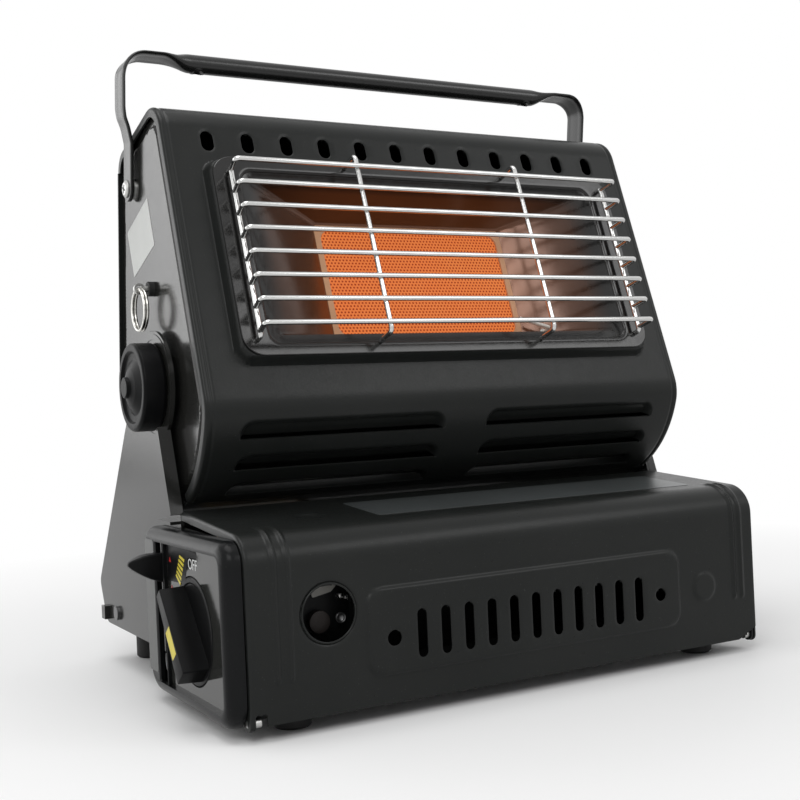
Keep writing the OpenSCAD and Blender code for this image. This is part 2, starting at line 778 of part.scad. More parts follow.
module head_wrap() {
    color("#1d1e20") in_head() {
        difference() {
            union() {
                along_x(-head_x, head_x) polygon(concat(wrap_line(0), reversed(wrap_line(sheet))));
                both_sides() along_x(side_x, head_x) polygon(concat(wrap_line(0), reversed(wrap_line(4.5))));
                along_y(-face_u - boss_n, -face_u + 0.5)
                    polygon(rounded(box_pts(-boss_x, boss_low, boss_x, boss_high, 8)));
            }
            along_y(-face_u - boss_n + sheet, -face_u + 3)
                polygon(rounded(box_pts(-boss_x + 1, boss_low + 1, boss_x - 1, boss_high - 1, 7)));
            block([-mouth_x - 1, -face_u - boss_n - 1, mouth_low - 1], [mouth_x + 1, -face_u, mouth_high + 1]);
            for (i = [0:head_slot_count - 1]) {
                along_y(-face_u - 1, -face_u + 2)
                    slot_2d((i - (head_slot_count - 1) / 2) * head_slot_pitch, head_top - 18.4, 6, 10.6);
            }
            for (a = louver_edges) both_sides() along_x(louver_x[0], louver_x[1]) louver_hole_2d(a);
        }
        for (a = louver_edges) both_sides() {
            along_x(louver_x[0], louver_x[1]) louver_2d(a);
            for (x = louver_x) along_x(x - 0.5, x + 0.5) louver_end_2d(a);
        }
    }
}

// Right-hand side panel, recessed behind the front shell's rim.
module head_side() {
    color("#1d1e20") difference() {
        along_x(side_x - sheet, side_x) polygon(head_outline(sheet + run));
        rod_x(0, 0, bolt_r + run, side_x - 2, side_x + 1);
        rod_x(screw_pos[0], screw_pos[1], screw_r, side_x - 2, side_x + 1);
    }
}

module head_side_left() {
    in_head() side(-1) difference() {
        head_side();
        rod_x(ring_pos[0], ring_pos[1], ring_pin_r, side_x - 2, side_x + 1);
    }
}

module head_side_right() {
    in_head() side(1) head_side();
}

// Places its children on the rear cover's flat: y outward, z up along it from the lower bend.
module on_rear() {
    a = touch(rear_corner, top_corner);
    in_head() translate([0, rear_corner[0] + rear_corner[2] * cos(a), rear_corner[1] + rear_corner[2] * sin(a)])
        rotate([a, 0, 0]) children();
}

// Rear and bottom of the head, with a slot that the gas tube passes through as the head tilts.
module rear_cover() {
    slot_w = tube_r + 1.5;
    color("#1d1e20") difference() {
        in_head() difference() {
            along_x(-head_x, head_x) polygon(concat(rear_line(0), reversed(rear_line(sheet))));
            block([riser_x - slot_w, 1.3, -drum_r - 1], [riser_x + slot_w, drum_r + 10, 8]);
        }
        on_rear() for (x = standoff_x, z = standoff_z) rod_y(x, z, screw_r, -3, 1);
    }
}

// Guard strip that stands off the rear cover.
module rear_guard() {
    color("#191a1c") on_rear() difference() {
        union() {
            along_y(2.5, 2.5 + sheet) polygon(rounded(box_pts(-124, 3, 124, 66, 5)));
            for (x = standoff_x, z = standoff_z) rod_y(x, z, 4.5, 0, 2.5);
        }
        for (x = standoff_x, z = standoff_z) rod_y(x, z, screw_r, -1, 5);
    }
}

module head_screws() {
    color("#3a3b3d") on_rear() for (x = standoff_x, z = standoff_z) {
        rod_y(x, z, screw_r, -4, 2.5 + sheet);
        rod_y(x, z, 3.6, 2.5 + sheet, 5);
    }
}

// Plated wire guard: level wires welded to side rods and to two middle rods.
module wire_guard() {
    r = wire_d / 2;
    side_rod = [105.4, -face_u - 10.8];
    wire_u = -face_u - wire_n;
    seat_u = -face_u - boss_n - 1.15;
    low = mouth_low + 3.4;
    pitch = (mouth_high - 1.9 - low) / (wire_count - 1);
    color("#d5d7d9") in_head() {
        for (i = [0:wire_count - 1]) {
            z = low + i * pitch;
            bent_bar([
                [-side_rod[0], side_rod[1], z], [-106.9, wire_u, z], [106.9, wire_u, z], [side_rod[0], side_rod[1], z]
            ], r);
        }
        for (x = [-side_rod[0], side_rod[0]]) bent_bar([
            [x, seat_u, low - 2], [x, side_rod[1], low - 2],
            [x, side_rod[1], mouth_high - 1.1], [x, seat_u, mouth_high - 1.1]
        ], r);
        for (x = [-45.25, 45.25]) bent_bar([
            [x, seat_u, low - 4], [x, wire_u + 1.6, low - 4],
            [x, wire_u + 1.6, mouth_high + 4.5], [x, seat_u, mouth_high + 4.5]
        ], r);
    }
}

// ---- Tilt joint ----

module tilt_washers() {
    color("#2a2a2a") in_head() both_sides() difference() {
        rod_x(0, 0, 14, side_x, wall_x - gap);
        rod_x(0, 0, bolt_r + run, side_x - 1, wall_x);
    }
}

module tilt_nuts() {
    color("#b9bbbd") in_head() both_sides() difference() {
        translate([side_x - sheet - 5, 0, 0]) rotate([0, 90, 0]) cylinder(r = 5.8, h = 5, $fn = 6);
        rod_x(0, 0, bolt_r + run, side_x - 8, side_x);
    }
}

// Right-hand tilt knob: dished face, round rim, centre cap.
module tilt_knob() {
    r = tilt_knob_r;
    color("#141516") translate([half_w + gap, tilt_y, tilt_z]) rotate([0, 90, 0]) rotate_extrude($fn = 72) polygon([
        [bolt_r, 0], [r - 1, 0], [r, 1], [r, 8.6], [r - 0.5, 9.8], [r - 1.7, 10.3], [r - 3, 10],
        [r - 6, 8.4], [10, 8], [9.4, 10.6], [8.2, 12.6], [6, 13.6], [0, 14], [0, 11], [bolt_r, 11]
    ]);
}

module tilt_bolt() {
    color("#b9bbbd") rod_x(tilt_y, tilt_z, bolt_r, 116, half_w + gap + 11);
}

module tilt_knob_left() {
    placed() side(-1) tilt_knob();
}

module tilt_bolt_left() {
    placed() side(-1) tilt_bolt();
}

module tilt_knob_right() {
    placed() side(1) tilt_knob();
}

module tilt_bolt_right() {
    placed() side(1) tilt_bolt();
}

// ---- Handle ----

module at_handle() {
    placed() translate([0, head_y(screw_pos), head_z(screw_pos)]) rotate([handle_lean, 0, 0]) children();
}

// Tube across the top, with a flat strap at each end that steps outward on its way up.
module carry_handle() {
    low_x = head_x + 0.3;
    high_x = half_w + 2;
    t = 2.5;
    color("#1a1b1d") at_handle() {
        rod_x(0, handle_r, bar_d / 2, -124.5, 124.5);
        both_sides() difference() {
            union() {
                along_y(-6, 6) polygon(rounded([
                    [low_x, 0, 0], [low_x, 12.5, 3], [high_x, 24.5, 4],
                    [high_x, handle_r - t / 2, 10], [124, handle_r - t / 2, 0],
                    [124, handle_r + t / 2, 0], [high_x + t, handle_r + t / 2, 12.5],
                    [high_x + t, 23.5, 4], [low_x + t, 11.5, 3], [low_x + t, 0, 0]
                ]));
                rod_x(0, 0, 6, low_x, low_x + t);
            }
            rod_x(0, 0, screw_r + run, low_x - 1, low_x + t + 1);
        }
    }
}

module handle_screws() {
    outer = head_x + 0.3 + 2.5 + gap;
    color("#2c2d2f") at_handle() both_sides() {
        rod_x(0, 0, screw_r, side_x - 4, outer);
        rod_x(0, 0, 4.8, outer, outer + 2.2);
    }
}

module handle_washers() {
    color("#b9bbbd") at_handle() both_sides() difference() {
        rod_x(0, 0, 5, side_x, head_x - 0.1);
        rod_x(0, 0, screw_r, side_x - 1, head_x);
    }
}

// ---- Hanging ring ----

module at_ring() {
    placed() translate([0, head_y(ring_pos), head_z(ring_pos)]) children();
}

module ring_pin() {
    eye_x = -half_w - 2.3;
    color("#b9bbbd") at_ring() difference() {
        union() {
            rod_x(0, 0, ring_pin_r, eye_x + 2, -side_x + 4);
            rod_y(eye_x, 0, 2.6, -1, 1);
        }
        rod_y(eye_x, 0, 1.6, -2, 2);
    }
}

module ring_grommet() {
    color("#161616") at_ring() difference() {
        rod_x(0, 0, 3.5, -side_x - 2.6, -side_x);
        rod_x(0, 0, ring_pin_r, -side_x - 3, -side_x + 1);
    }
}

// Split ring of two turns side by side, hanging from the pin's eye.
module split_ring() {
    r = 0.7;
    turn_r = 9.8;
    color("#c9cbcd") at_ring() for (s = [-1, 1]) {
        translate([-half_w - 2.3 + s * r, 0, -turn_r]) rotate([0, 90, 0])
            rotate_extrude($fn = 64) translate([turn_r, 0]) circle(r = r, $fn = 16);
    }
}

// ---- Drawing ----

base_tray();
bay_wall();
rear_deck();
cradle_rails();
lid_catch();
stand_plate_left();
stand_plate_right();
front_feet();
rear_feet();
deck_screws();
control_bezel();
control_face();
dial_knob();
dial_spindle();
cartridge_lever();
cartridge_fork();
regulator_body();
regulator_bracket();
guide_rods();
piezo_igniter();
cartridge_lid();
lid_pins();
gas_tube();
swivel_union();
burner_tube();
injector();
venturi_tube();
burner_box();
ceramic_plaque();
plaque_frame();
reflector_pan();
electrode();
head_wrap();
head_side_left();
head_side_right();
rear_cover();
rear_guard();
wire_guard();
tilt_washers();
tilt_nuts();
carry_handle();
handle_screws();
handle_washers();
tilt_knob_left();
tilt_bolt_left();
tilt_knob_right();
tilt_bolt_right();
ring_pin();
ring_grommet();
split_ring();
head_screws();
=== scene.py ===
import math
import bpy
import bmesh
import mathutils
import numpy as np
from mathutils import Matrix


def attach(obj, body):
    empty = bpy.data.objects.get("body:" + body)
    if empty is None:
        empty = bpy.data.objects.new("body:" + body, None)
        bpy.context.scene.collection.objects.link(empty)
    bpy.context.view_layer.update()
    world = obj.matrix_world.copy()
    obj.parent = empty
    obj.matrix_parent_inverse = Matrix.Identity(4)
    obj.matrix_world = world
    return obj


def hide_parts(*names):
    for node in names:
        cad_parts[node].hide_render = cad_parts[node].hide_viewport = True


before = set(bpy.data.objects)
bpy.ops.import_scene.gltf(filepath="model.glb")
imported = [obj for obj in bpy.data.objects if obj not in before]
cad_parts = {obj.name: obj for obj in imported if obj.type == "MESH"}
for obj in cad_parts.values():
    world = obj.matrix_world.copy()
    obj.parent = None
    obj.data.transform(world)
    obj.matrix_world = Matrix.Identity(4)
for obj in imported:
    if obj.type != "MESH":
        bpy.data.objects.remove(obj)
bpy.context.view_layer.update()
print("frame loaded with", len(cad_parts), "nodes")

# the drawing's frame in millimetres: x from the mid plane, y back from the lid's front, z up from the floor
heater = {"midX": -3.8, "midY": 106.67, "tiltY": 104.0, "tiltZ": 143.5, "lean": 18.9, "halfWidth": 135.0}
leanCos = math.cos(math.radians(heater["lean"]))
leanSin = math.sin(math.radians(heater["lean"]))


def place(points):
    # drawing millimetres to metres, with the model's middle as the origin
    return (np.asarray(points, float) - [heater["midX"], heater["midY"], 0.0]) / 1000.0


def placeHead(points):
    # head axes (x, depth u, height w) turned back by the lean about the tilt axis, then placed
    p = np.asarray(points, float)
    u, w = p[..., 1], p[..., 2]
    y = heater["tiltY"] + u * leanCos + w * leanSin
    z = heater["tiltZ"] - u * leanSin + w * leanCos
    return place(np.stack([p[..., 0], y, z], -1))


def unit(v):
    v = np.asarray(v, float)
    return v / np.linalg.norm(v, axis=-1, keepdims=True)


def smooth(t):
    # 0 below 0, 1 above 1, and 3t^2 - 2t^3 between
    t = np.clip(t, 0.0, 1.0)
    return t * t * (3.0 - 2.0 * t)


def boxField(x, z, x0, z0, x1, z1, r):
    # signed distance to a box with round corners, negative inside; r is one radius
    # or four, for the corners low-low, high-low, high-high and low-high
    r = np.broadcast_to(r, (4,)) if np.ndim(r) == 0 else np.asarray(r, float)
    cx, cz = (x0 + x1) / 2, (z0 + z1) / 2
    low = np.where(x < cx, r[0], r[1])
    high = np.where(x < cx, r[3], r[2])
    r = np.where(z < cz, low, high)
    qx = np.abs(x - cx) - (x1 - x0) / 2 + r
    qz = np.abs(z - cz) - (z1 - z0) / 2 + r
    return np.hypot(np.maximum(qx, 0), np.maximum(qz, 0)) + np.minimum(np.maximum(qx, qz), 0) - r


def gridFaces(rows, cols, wrapRows=False, wrapCols=False):
    # four corners of every cell of a grid of points, row by row
    r, c = np.meshgrid(np.arange(rows if wrapRows else rows - 1),
                       np.arange(cols if wrapCols else cols - 1), indexing="ij")
    r2, c2 = (r + 1) % rows, (c + 1) % cols
    return np.stack([r * cols + c, r * cols + c2, r2 * cols + c2, r2 * cols + c], -1).reshape(-1, 4)


def signedVolume(points, faceSets):
    # sum of the tetrahedra between the middle of the points and each face's triangles
    total = 0.0
    centre = points.mean(0)
    for faces in faceSets:
        for k in range(1, faces.shape[1] - 1):
            a, b, c = (points[faces[:, i]] - centre for i in (0, k, k + 1))
            total += np.einsum("ij,ij->i", a, np.cross(b, c)).sum()
    return total


def makePiece(name, metres, faceSets, crease=35.0, closed=True):
    # one mesh object from whole arrays of points and faces; a closed one is turned to face outward
    metres = np.asarray(metres, float).reshape(-1, 3)
    faceSets = [np.asarray(f, np.int64) for f in faceSets if len(f)]
    if closed and signedVolume(metres, faceSets) < 0:
        faceSets = [f[:, ::-1] for f in faceSets]
    corners = np.concatenate([f.ravel() for f in faceSets])
    counts = np.concatenate([np.full(len(f), f.shape[1]) for f in faceSets])
    used, corners = np.unique(corners, return_inverse=True)
    mesh = bpy.data.meshes.new(name)
    mesh.vertices.add(len(used))
    mesh.vertices.foreach_set("co", metres[used].astype(np.float32).ravel())
    mesh.loops.add(len(corners))
    mesh.loops.foreach_set("vertex_index", corners.ravel().astype(np.int32))
    mesh.polygons.add(len(counts))
    mesh.polygons.foreach_set("loop_start", (np.cumsum(counts) - counts).astype(np.int32))
    mesh.update(calc_edges=True)
    mesh.validate()
    mesh.shade_smooth()
    mesh.set_sharp_from_angle(angle=math.radians(crease))
    piece = bpy.data.objects.new(name, mesh)
    bpy.context.scene.collection.objects.link(piece)
    return piece


def settle(piece, crease=35.0):
    # applies the piece's modifiers and marks its creases
    bpy.context.view_layer.update()
    graph = bpy.context.evaluated_depsgraph_get()
    mesh = bpy.data.meshes.new_from_object(piece.evaluated_get(graph))
    piece.modifiers.clear()
    piece.data = mesh
    mesh.shade_smooth()
    mesh.set_sharp_from_angle(angle=math.radians(crease))
    return piece


def thicken(piece, millimetres, bevel=0.0):
    # gives a sheet its wall, measured inward from the outer face
    wall = piece.modifiers.new("wall", "SOLIDIFY")
    wall.thickness = millimetres / 1000.0
    wall.offset = -1.0
    if bevel:
        edge = piece.modifiers.new("edge", "BEVEL")
        edge.width = bevel / 1000.0
        edge.segments = 2
        edge.limit_method = "ANGLE"
        edge.angle_limit = math.radians(50)
    return settle(piece)


def fit(piece, body, slotName, material, *nodes):
    # finish, body and the CAD nodes that the piece stands for
    piece.data.materials.clear()
    piece.data.materials.append(material)
    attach(piece, body)
    if nodes:
        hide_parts(*nodes)
    return piece


def spacedLines(start, stop, coarse, zones=(), exact=()):
    # grid lines between two ends: each zone (from, to, gap) has its own finer spacing, and some lines lie on exact places
    fine = np.arange(start, stop, 0.02)
    gap = np.full(fine.shape, float(coarse))
    for low, high, step in zones:
        gap = np.where((fine > low) & (fine < high), np.minimum(gap, step), gap)
    count = np.concatenate([[0.0], np.cumsum(0.02 / gap)])
    lines = np.interp(np.linspace(0, count[-1], math.ceil(count[-1]) + 1), count, np.append(fine, stop))
    exact = np.asarray(sorted(exact), float)
    if len(exact):
        keep = np.abs(lines[:, None] - exact[None, :]).min(1) > 0.16
        keep[0] = keep[-1] = True
        lines = np.concatenate([lines[keep], exact])
    return np.unique(np.round(lines, 5))


def filletPath(points, radii, steps=8):
    # straight runs whose inner corners are arcs of the given radii
    pts = [np.asarray(p, float) for p in points]
    out = [pts[0][None]]
    for before, here, after, radius in zip(pts[:-2], pts[1:-1], pts[2:], radii):
        a, b = unit(before - here), unit(after - here)
        half = math.acos(float(np.clip(a @ b, -1, 1))) / 2
        centre = here + unit(a + b) * radius / math.sin(half)
        p0 = here + a * radius / math.tan(half) - centre
        p1 = here + b * radius / math.tan(half) - centre
        sweep = math.pi - 2 * half
        t = np.linspace(0, 1, steps + 1)[:, None]
        out.append(centre + (np.sin((1 - t) * sweep) * p0 + np.sin(t * sweep) * p1) / math.sin(sweep))
    out.append(pts[-1][None])
    return np.concatenate(out)


def evenPath(points, step):
    # the same path with points a step apart
    length = np.concatenate([[0], np.cumsum(np.linalg.norm(np.diff(points, axis=0), axis=1))])
    s = np.linspace(0, length[-1], max(2, int(round(length[-1] / step)) + 1))
    return np.stack([np.interp(s, length, points[:, k]) for k in range(points.shape[1])], -1)


def loopRound(x0, z0, x1, z1, r, steps=8):
    # closed outline of a box with round corners, with the same number of points for any size
    r = np.broadcast_to(r, (4,))
    centres = np.array([[x0 + r[0], z0 + r[0]], [x1 - r[1], z0 + r[1]], [x1 - r[2], z1 - r[2]], [x0 + r[3], z1 - r[3]]])
    turn = np.radians(np.array([180, 270, 0, 90])[:, None] + np.linspace(0, 90, steps + 1)[None])
    arcs = centres[:, None] + np.maximum(r, 1e-3)[:, None, None] * np.stack([np.cos(turn), np.sin(turn)], -1)
    return arcs.reshape(-1, 2)


def loft(name, loops, ring=False, crease=35.0):
    # skin over a stack of closed loops; its ends are closed, or the last loop meets the first
    rows, cols = loops.shape[:2]
    sets = [gridFaces(rows, cols, wrapRows=ring, wrapCols=True)]
    if not ring:
        sets += [np.arange(cols)[None, ::-1], (rows - 1) * cols + np.arange(cols)[None]]
    return makePiece(name, loops, sets, crease)


def tubeLoops(path, radius, side, count=14):
    # rings across a path that lies in one plane: radius times (cos side + sin other), with chamfered ends
    path = np.asarray(path, float)
    ends = unit(path[1] - path[0]), unit(path[-1] - path[-2])
    radius = np.broadcast_to(radius, (len(path),)).astype(float)
    bevel = 0.35 * radius[0]
    path = np.concatenate([path[:1], path[:1] + ends[0] * bevel, path[1:-1], path[-1:] - ends[1] * bevel, path[-1:]])
    radius = np.concatenate([radius[:1] - bevel, radius[:1], radius[1:-1], radius[-1:], radius[-1:] - bevel])
    along = unit(np.gradient(path, axis=0))
    side = unit(side)
    other = np.cross(along, side)
    turn = 2 * math.pi * np.arange(count) / count
    return path[:, None] + radius[:, None, None] * (
        np.cos(turn)[None, :, None] * side + np.sin(turn)[None, :, None] * other[:, None])


def joinSkins(name, stacks, crease=35.0):
    # several closed lofts in one object
    points, sets, first = [], [], 0
    for loops in stacks:
        rows, cols = loops.shape[:2]
        one = [gridFaces(rows, cols, wrapCols=True), np.arange(cols)[None, ::-1], (rows - 1) * cols + np.arange(cols)[None]]
        flat = loops.reshape(-1, 3)
        if signedVolume(flat, one) < 0:
            one = [f[:, ::-1] for f in one]
        sets += [f + first for f in one]
        points.append(flat)
        first += len(flat)
    return makePiece(name, np.concatenate(points), sets, crease, closed=False)


def lathe(name, profile, toPoint, steps=96, crease=30.0):
    # a profile of (radius, reach) turned round an axis; both ends lie on the axis and become single points
    profile = np.asarray(profile, float)
    turn = 2 * math.pi * np.arange(steps) / steps
    ring = np.stack([profile[1:-1, 0][:, None] * np.cos(turn), profile[1:-1, 0][:, None] * np.sin(turn),
                     np.repeat(profile[1:-1, 1][:, None], steps, 1)], -1).reshape(-1, 3)
    points = np.concatenate([ring, [[0, 0, profile[0, 1]], [0, 0, profile[-1, 1]]]])
    rows = len(profile) - 2
    k = np.arange(steps)
    start = np.stack([np.full(steps, rows * steps), (k + 1) % steps, k], -1)
    end = np.stack([np.full(steps, rows * steps + 1), (rows - 1) * steps + k, (rows - 1) * steps + (k + 1) % steps], -1)
    return makePiece(name, toPoint(points), [gridFaces(rows, steps, wrapCols=True), start, end], crease)


# cells of a cut grid: for each way that its corners can lie, the polygons that are kept.
# corners are a b c d, and ab bc cd da are the cut points between them
cellCuts = {
    1: ["a ab da"], 2: ["b bc ab"], 4: ["c cd bc"], 8: ["d da cd"],
    3: ["a b bc da"], 6: ["b c cd ab"], 12: ["c d da bc"], 9: ["d a ab cd"],
    7: ["a b c cd da"], 14: ["b c d da ab"], 13: ["c d a ab bc"], 11: ["d a b bc cd"],
    5: ["a ab da", "c cd bc"], 10: ["b bc ab", "d da cd"], 15: ["a b c d"],
}


def cutSheet(points, field, drop=None):
    # a grid of points cut along the line where the field is zero: the part with a positive field is kept.
    # a cut point divides its grid edge in the ratio of the two field values
    rows, cols = field.shape
    flat = points.reshape(-1, 3)
    keep = field >= 0
    newPoints, first = [], rows * cols
    acrossId = np.full((rows, cols - 1), -1)
    mask = keep[:, :-1] != keep[:, 1:]
    t = (field[:, :-1] / (field[:, :-1] - field[:, 1:] + 1e-12))[mask][:, None]
    newPoints.append(points[:, :-1][mask] * (1 - t) + points[:, 1:][mask] * t)
    acrossId[mask] = first + np.arange(mask.sum())
    first += mask.sum()
    alongId = np.full((rows - 1, cols), -1)
    mask = keep[:-1] != keep[1:]
    t = (field[:-1] / (field[:-1] - field[1:] + 1e-12))[mask][:, None]
    newPoints.append(points[:-1][mask] * (1 - t) + points[1:][mask] * t)
    alongId[mask] = first + np.arange(mask.sum())
    index = np.arange(rows * cols).reshape(rows, cols)
    parts = {"a": index[:-1, :-1], "b": index[:-1, 1:], "c": index[1:, 1:], "d": index[1:, :-1],
             "ab": acrossId[:-1], "cd": acrossId[1:], "da": alongId[:, :-1], "bc": alongId[:, 1:]}
    code = keep[:-1, :-1] + 2 * keep[:-1, 1:] + 4 * keep[1:, 1:] + 8 * keep[1:, :-1]
    if drop is not None:
        code = np.where(drop, 0, code)
    sets = []
    for case, polygons in cellCuts.items():
        here = code == case
        if here.any():
            sets += [np.stack([parts[k][here] for k in polygon.split()], -1) for polygon in polygons]
    return np.concatenate([flat] + newPoints), sets


def walk(start, arcs, stop, step=0.05):
    # a sheet's side view as a table: distance, point and outward direction. Straight runs join arcs
    # (centre, radius, first and last angle), and each run faces the way its arc ends
    points, angles, last = [], [], start
    for cy, cz, r, a0, a1 in arcs:
        first = np.array([cy, cz]) + r * np.array([math.cos(math.radians(a0)), math.sin(math.radians(a0))])
        run = np.linspace(0, 1, max(2, int(np.linalg.norm(first - last) / 1.0) + 2))[:, None]
        if np.linalg.norm(first - last) > 1e-6:
            points.append(np.asarray(last) * (1 - run) + first * run)
            angles.append(np.full(len(run), a0))
        turn = np.linspace(a0, a1, max(3, int(abs(math.radians(a1 - a0)) * r / step)))
        points.append(np.array([cy, cz]) + r * np.stack([np.cos(np.radians(turn)), np.sin(np.radians(turn))], -1))
        angles.append(turn)
        last = points[-1][-1]
    if stop is not None:
        run = np.linspace(0, 1, int(np.linalg.norm(np.asarray(stop) - last)) + 2)[:, None]
        points.append(last * (1 - run) + np.asarray(stop) * run)
        angles.append(np.full(len(run), arcs[-1][4]))
    points, angles = np.concatenate(points), np.concatenate(angles)
    distance = np.concatenate([[0], np.cumsum(np.linalg.norm(np.diff(points, axis=0), axis=1))])
    return {"distance": distance, "point": points, "angle": angles, "length": distance[-1]}


def pathAt(path, s):
    point = np.stack([np.interp(s, path["distance"], path["point"][:, k]) for k in (0, 1)], -1)
    angle = np.radians(np.interp(s, path["distance"], path["angle"]))
    return point, np.stack([np.cos(angle), np.sin(angle)], -1)


def acrossFold(t, half, radius):
    # t runs across the sheet: flat, then round the edge's bend, then down its hem
    flat = half - radius
    bend = np.clip((np.abs(t) - flat) / radius, 0, math.pi / 2)
    hem = np.maximum(np.abs(t) - flat - radius * math.pi / 2, 0)
    return np.sign(t) * (np.minimum(np.abs(t), flat) + radius * np.sin(bend)), radius * (1 - np.cos(bend)) + hem


def bentSheet(name, path, half, radius, tLines, sLines, relief, hole, toFrame, wall, strips=()):
    # point = path(s) + outward(s) * (relief(x, s) - hem depth(t)); grid points near the hole's edge move onto it,
    # and a strip (row, least step) is left open where the relief steps by more than that
    t, s = np.meshgrid(tLines, sLines)

    def holeAt(a, b):
        return hole(acrossFold(a, half, radius)[0], b)

    nudge = 0.01
    field = holeAt(t, s)
    gradT = (holeAt(t + nudge, s) - holeAt(t - nudge, s)) / (2 * nudge)
    gradS = (holeAt(t, s + nudge) - holeAt(t, s - nudge)) / (2 * nudge)
    gapT = np.gradient(tLines)[None]
    gapS = np.gradient(sLines)[:, None]
    near = np.abs(field) < 0.3 * np.minimum(gapT, gapS)
    near[0] = near[-1] = False
    near[:, 0] = near[:, -1] = False
    size = np.maximum(gradT ** 2 + gradS ** 2, 0.25)
    t = np.where(near, t - field * gradT / size, t)
    s = np.where(near, s - field * gradS / size, s)
    field = np.where(near, 0.0, field)
    x, depth = acrossFold(t, half, radius)
    height = relief(x, s)
    point, outward = pathAt(path, s)
    flat = point + outward * (height - depth)[..., None]
    points = np.concatenate([x[..., None], flat], -1)
    drop = np.zeros((len(sLines) - 1, len(tLines) - 1), bool)
    for edge, step in strips:
        row = int(np.argmin(np.abs(sLines - edge)))
        jump = np.abs(height[row] - height[row + 1]) > step
        drop[row] = jump[:-1] & jump[1:]
    solid, sets = cutSheet(points, field, drop)
    metres = toFrame(solid)
    # the middle cell must face the same way as the path's outward direction
    r, c = int(np.argmax(field.min(1) > 0)), len(tLines) // 2
    a, b, d = toFrame(points[r, c]), toFrame(points[r, c + 1]), toFrame(points[r + 1, c])
    tip = toFrame(np.concatenate([[points[r, c, 0]], points[r, c, 1:] + outward[r, c]]))
    if np.dot(np.cross(b - a, d - a), tip - a) < 0:
        sets = [f[:, ::-1] for f in sets]
    return thicken(makePiece(name, metres, sets, closed=False), wall)


# camera from the solved view: place, heading, roll and lens
view = {"place": (-0.3018, -0.54577, 0.1313), "yaw": 28.99, "pitch": 0.09, "roll": -2.63, "lens": 53.95}


def makeCamera():
    yaw, pitch, roll = (math.radians(view[k]) for k in ("yaw", "pitch", "roll"))
    ahead = np.array([math.sin(yaw) * math.cos(pitch), math.cos(yaw) * math.cos(pitch), math.sin(pitch)])
    right = np.array([math.cos(yaw), -math.sin(yaw), 0.0])
    up = np.cross(right, ahead)
    r = math.cos(roll) * right + math.sin(roll) * up
    u = -math.sin(roll) * right + math.cos(roll) * up
    camera = bpy.data.objects.new("camera", bpy.data.cameras.new("camera"))
    bpy.context.scene.collection.objects.link(camera)
    matrix = np.eye(4)
    matrix[:3, 0], matrix[:3, 1], matrix[:3, 2], matrix[:3, 3] = r, u, -ahead, view["place"]
    camera.matrix_world = mathutils.Matrix(matrix.tolist())
    camera.data.lens = view["lens"]
    camera.data.sensor_width = 36.0
    camera.data.clip_start = 0.01
    bpy.context.scene.camera = camera


makeCamera()

# shader node groups, each built once

def link(tree, source, target):
    tree.links.new(source, target)


def newGroup(name, inputs, outputs):
    group = bpy.data.node_groups.new(name, "ShaderNodeTree")
    for label, kind, value in inputs:
        socket = group.interface.new_socket(name=label, in_out="INPUT", socket_type=kind)
        if value is not None:
            socket.default_value = value
    for label, kind in outputs:
        group.interface.new_socket(name=label, in_out="OUTPUT", socket_type=kind)
    return group, group.nodes.new("NodeGroupInput"), group.nodes.new("NodeGroupOutput")


def mathNode(tree, operation, a, b=None, clamp=False):
    node = tree.nodes.new("ShaderNodeMath")
    node.operation = operation
    node.use_clamp = clamp
    for socket, value in zip(node.inputs, (a, b)):
        if value is None:
            continue
        if isinstance(value, (int, float)):
            socket.default_value = value
        else:
            link(tree, value, socket)
    return node.outputs[0]


def noiseNode(tree, vector, scale, detail=3.0, roughness=0.55):
    node = tree.nodes.new("ShaderNodeTexNoise")
    node.inputs["Detail"].default_value = detail
    node.inputs["Roughness"].default_value = roughness
    if isinstance(scale, (int, float)):
        node.inputs["Scale"].default_value = scale
    else:
        link(tree, scale, node.inputs["Scale"])
    link(tree, vector, node.inputs["Vector"])
    return node.outputs["Fac"]


def rangeNode(tree, value, low, high, toLow=0.0, toHigh=1.0):
    node = tree.nodes.new("ShaderNodeMapRange")
    node.inputs["From Min"].default_value = low
    node.inputs["From Max"].default_value = high
    node.inputs["To Min"].default_value = toLow
    node.inputs["To Max"].default_value = toHigh
    link(tree, value, node.inputs["Value"])
    return node.outputs["Result"]


def finishGrain():
    # fine orange peel, broad cloudiness and rare flecks; Grain is in ripples per metre
    group, given, result = newGroup(
        "finishGrain", [("Vector", "NodeSocketVector", None), ("Grain", "NodeSocketFloat", 900.0)],
        [("Height", "NodeSocketFloat"), ("Cloud", "NodeSocketFloat"), ("Fleck", "NodeSocketFloat")])
    vector, grain = given.outputs["Vector"], given.outputs["Grain"]
    fine = noiseNode(group, vector, grain, 2.0)
    broad = noiseNode(group, vector, mathNode(group, "MULTIPLY", grain, 0.16), 2.0)
    height = mathNode(group, "ADD", mathNode(group, "MULTIPLY", fine, 0.65), mathNode(group, "MULTIPLY", broad, 0.35))
    link(group, height, result.inputs["Height"])
    link(group, rangeNode(group, noiseNode(group, vector, 14.0, 4.0, 0.6), 0.3, 0.7), result.inputs["Cloud"])
    link(group, rangeNode(group, noiseNode(group, vector, 1700.0, 1.0, 0.3), 0.74, 0.8), result.inputs["Fleck"])
    return group


